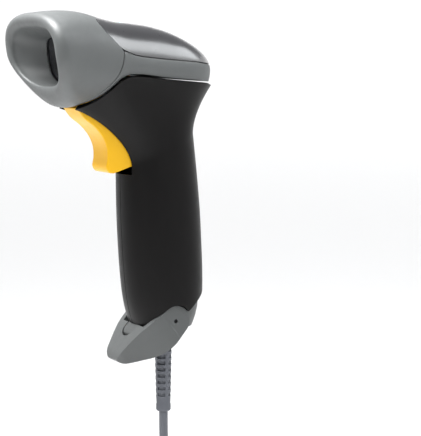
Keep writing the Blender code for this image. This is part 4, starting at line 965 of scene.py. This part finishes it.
def make_trigger():
    face = smooth_line(TRIGGER_FACE, 60)
    trigger = side_prism("trigger_piece", np.concatenate([face, TRIGGER_BACK]), TRIGGER_HALF_WIDTH)
    bore = rods_object("trigger_bore", [(1.6 * MM, (-20 * MM, *TRIGGER_PIN), (20 * MM, *TRIGGER_PIN))], 32)
    combine(trigger, "DIFFERENCE", bore)
    round_edges(trigger, 1.3 * MM, 5, 55)
    look = moulded("trigger_plastic", (0.74, 0.40, 0.003), 0.34, spread=0.06, grain=1500, depth=0.000008,
                   Specular_IOR_Level=0.35)
    finish_piece(trigger, [look], "trigger", ("trigger",))


def make_boot():
    """Cable boot with nine rows of flex slots between four ribs."""
    profile = [tuple(p) for p in BOOT_PROFILE]
    boot = turned_object("boot", profile, 96, (0, CABLE_Y, 0))
    pairs = []
    for row in range(9):
        z = (-66.5 - 3.25 * row) * MM
        half = (0.95 - 0.03 * row) * MM
        outer = 6 * MM
        inner = (3.35 - 0.05 * row) * MM
        for quarter in range(4):
            turn = np.radians(np.linspace(13, 77, 9) + 90 * quarter)
            ring = [(outer * math.cos(a), CABLE_Y + outer * math.sin(a)) for a in turn]
            ring += [(inner * math.cos(a), CABLE_Y + inner * math.sin(a)) for a in turn[::-1]]
            pairs.append([[(x, y, z + side * half) for x, y in ring] for side in (-1, 1)])
    combine(boot, "DIFFERENCE", prism_object("slots", pairs))
    round_edges(boot, 0.22 * MM, 2, 40)
    look = moulded("boot_rubber", CABLE_GREY, 0.55, spread=0.07, grain=2200, depth=0.00002)
    finish_piece(boot, [look], "grip", ("strain_relief",))


make_head()
make_shells()
make_cap()
make_foot()
make_trigger()
make_boot()


# ---------------------------------------------------------------- carried-over CAD nodes

def dress_nodes():
    steel = brushed("plated_steel", STEEL, 0.3)
    wire = brushed("spring_wire", (0.5, 0.5, 0.52), 0.3, (1, 0.05, 1))
    sheet = brushed("bracket_sheet", (0.45, 0.45, 0.46), 0.36, (0.05, 1, 1))
    black_pin = brushed("blackened_pin", (0.03, 0.03, 0.032), 0.4)
    dark = moulded("inner_plastic", DARK, 0.5, spread=0.12, grain=1600, depth=0.00002)
    clear = moulded("led_resin", (0.7, 0.7, 0.66), 0.12, spread=0.05, depth=0.000003, Coat_Weight=0.4)
    looks = {
        "window_gasket": moulded("gasket_foam", (0.02, 0.02, 0.022), 0.85, spread=0.2, grain=900,
                                 depth=0.0001),
        "engine_housing": dark, "lens_barrel": dark, "switch_body": dark, "processor": dark, "buzzer": dark,
        "cable_socket": dark, "engine_bracket": sheet, "trigger_spring": wire, "trigger_pin": steel,
        "foot_pin_left": black_pin, "foot_pin_right": black_pin, "engine_screw_left": steel,
        "engine_screw_right": steel, "shell_screw_1": steel, "shell_screw_2": steel, "shell_screw_3": steel,
        "receive_lens": moulded("coated_lens", (0.03, 0.05, 0.09), 0.05, spread=0.3, depth=0.000001,
                                Coat_Weight=1.0),
        "lamp_left": clear, "lamp_right": clear,
        "aiming_led": moulded("red_resin", (0.6, 0.03, 0.02), 0.14, depth=0.000003, Coat_Weight=0.4),
        "indicator_led": moulded("green_resin", (0.06, 0.5, 0.12), 0.14, depth=0.000003, Coat_Weight=0.4),
        "sensor_board": circuit("sensor_board_look"), "head_board": circuit("head_board_look"),
        "main_board": circuit("main_board_look"),
        "ribbon_cable": moulded("polyimide", (0.55, 0.28, 0.06), 0.25, spread=0.15, grain=700, depth=0.00001),
        "switch_plunger": moulded("plunger_plastic", (0.4, 0.015, 0.015), 0.35, depth=0.00001),
        "cable_plug": moulded("plug_plastic", CABLE_GREY, 0.4, depth=0.00001),
        "usb_tongue": moulded("tongue_plastic", (0.7, 0.7, 0.7), 0.35, spread=0.06, depth=0.00001),
    }
    for name, look in looks.items():
        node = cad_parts[name]
        node.data.materials.clear()
        node.data.materials.append(look)


dress_nodes()


# ---------------------------------------------------------------- stage and light

def make_stage():
    """A pale floor that curves up far away on every side."""
    profile = [(0.0, 0.0), (0.6, 0.0), (1.6, 0.0), (3.0, 0.0), (4.2, 0.1), (5.0, 0.5), (5.5, 1.3), (5.7, 2.4)]
    base = CAD_BOX[0][2] - 0.03
    steps = 96
    rows = []
    for radius, rise in profile:
        angle = np.linspace(0, 2 * math.pi, steps, endpoint=False)
        rows.append(np.stack([radius * np.cos(angle), radius * np.sin(angle), 0 * angle + base + rise], -1))
    floor = grid_object("floor", rows, closed=True)
    modify(floor, "SUBSURF", levels=2, render_levels=2)
    paper = moulded("floor_paper", (0.93, 0.93, 0.93), 0.85, spread=0.01, grain=500, depth=0.00002)
    floor.data.materials.append(paper)
    floor.data.shade_smooth()


def area_light(name, place, target, size, watts, colour=(1, 1, 1)):
    data = bpy.data.lights.new(name, "AREA")
    data.shape = "RECTANGLE"
    data.size, data.size_y = size
    data.energy = watts
    data.color = colour
    light = bpy.data.objects.new(name, data)
    light.location = place
    light.visible_camera = False
    light.rotation_euler = (Vector(target) - Vector(place)).to_track_quat("-Z", "Y").to_euler()
    bpy.context.scene.collection.objects.link(light)


def light_scene():
    world = bpy.data.worlds.new("studio")
    world.use_nodes = True
    world.node_tree.nodes["Background"].inputs["Color"].default_value = (0.97, 0.98, 1.0, 1)
    world.node_tree.nodes["Background"].inputs["Strength"].default_value = 0.36
    bpy.context.scene.world = world
    sun = bpy.data.lights.new("sun", "SUN")
    sun.energy = 2.2
    sun.angle = math.radians(50)
    holder = bpy.data.objects.new("sun", sun)
    holder.rotation_euler = Vector((-0.3, 0.55, -0.8)).to_track_quat("-Z", "Y").to_euler()
    bpy.context.scene.collection.objects.link(holder)
    area_light("top", (-0.08, -0.22, 0.5), (0, -0.02, 0.07), (0.32, 0.32), 10.5)
    area_light("side_box", (0.33, 0.36, 0.38), (0, 0, 0.08), (0.75, 0.3), 2.6, (0.95, 0.98, 1.0))
    bpy.context.scene.view_settings.view_transform = "Standard"


make_stage()
light_scene()
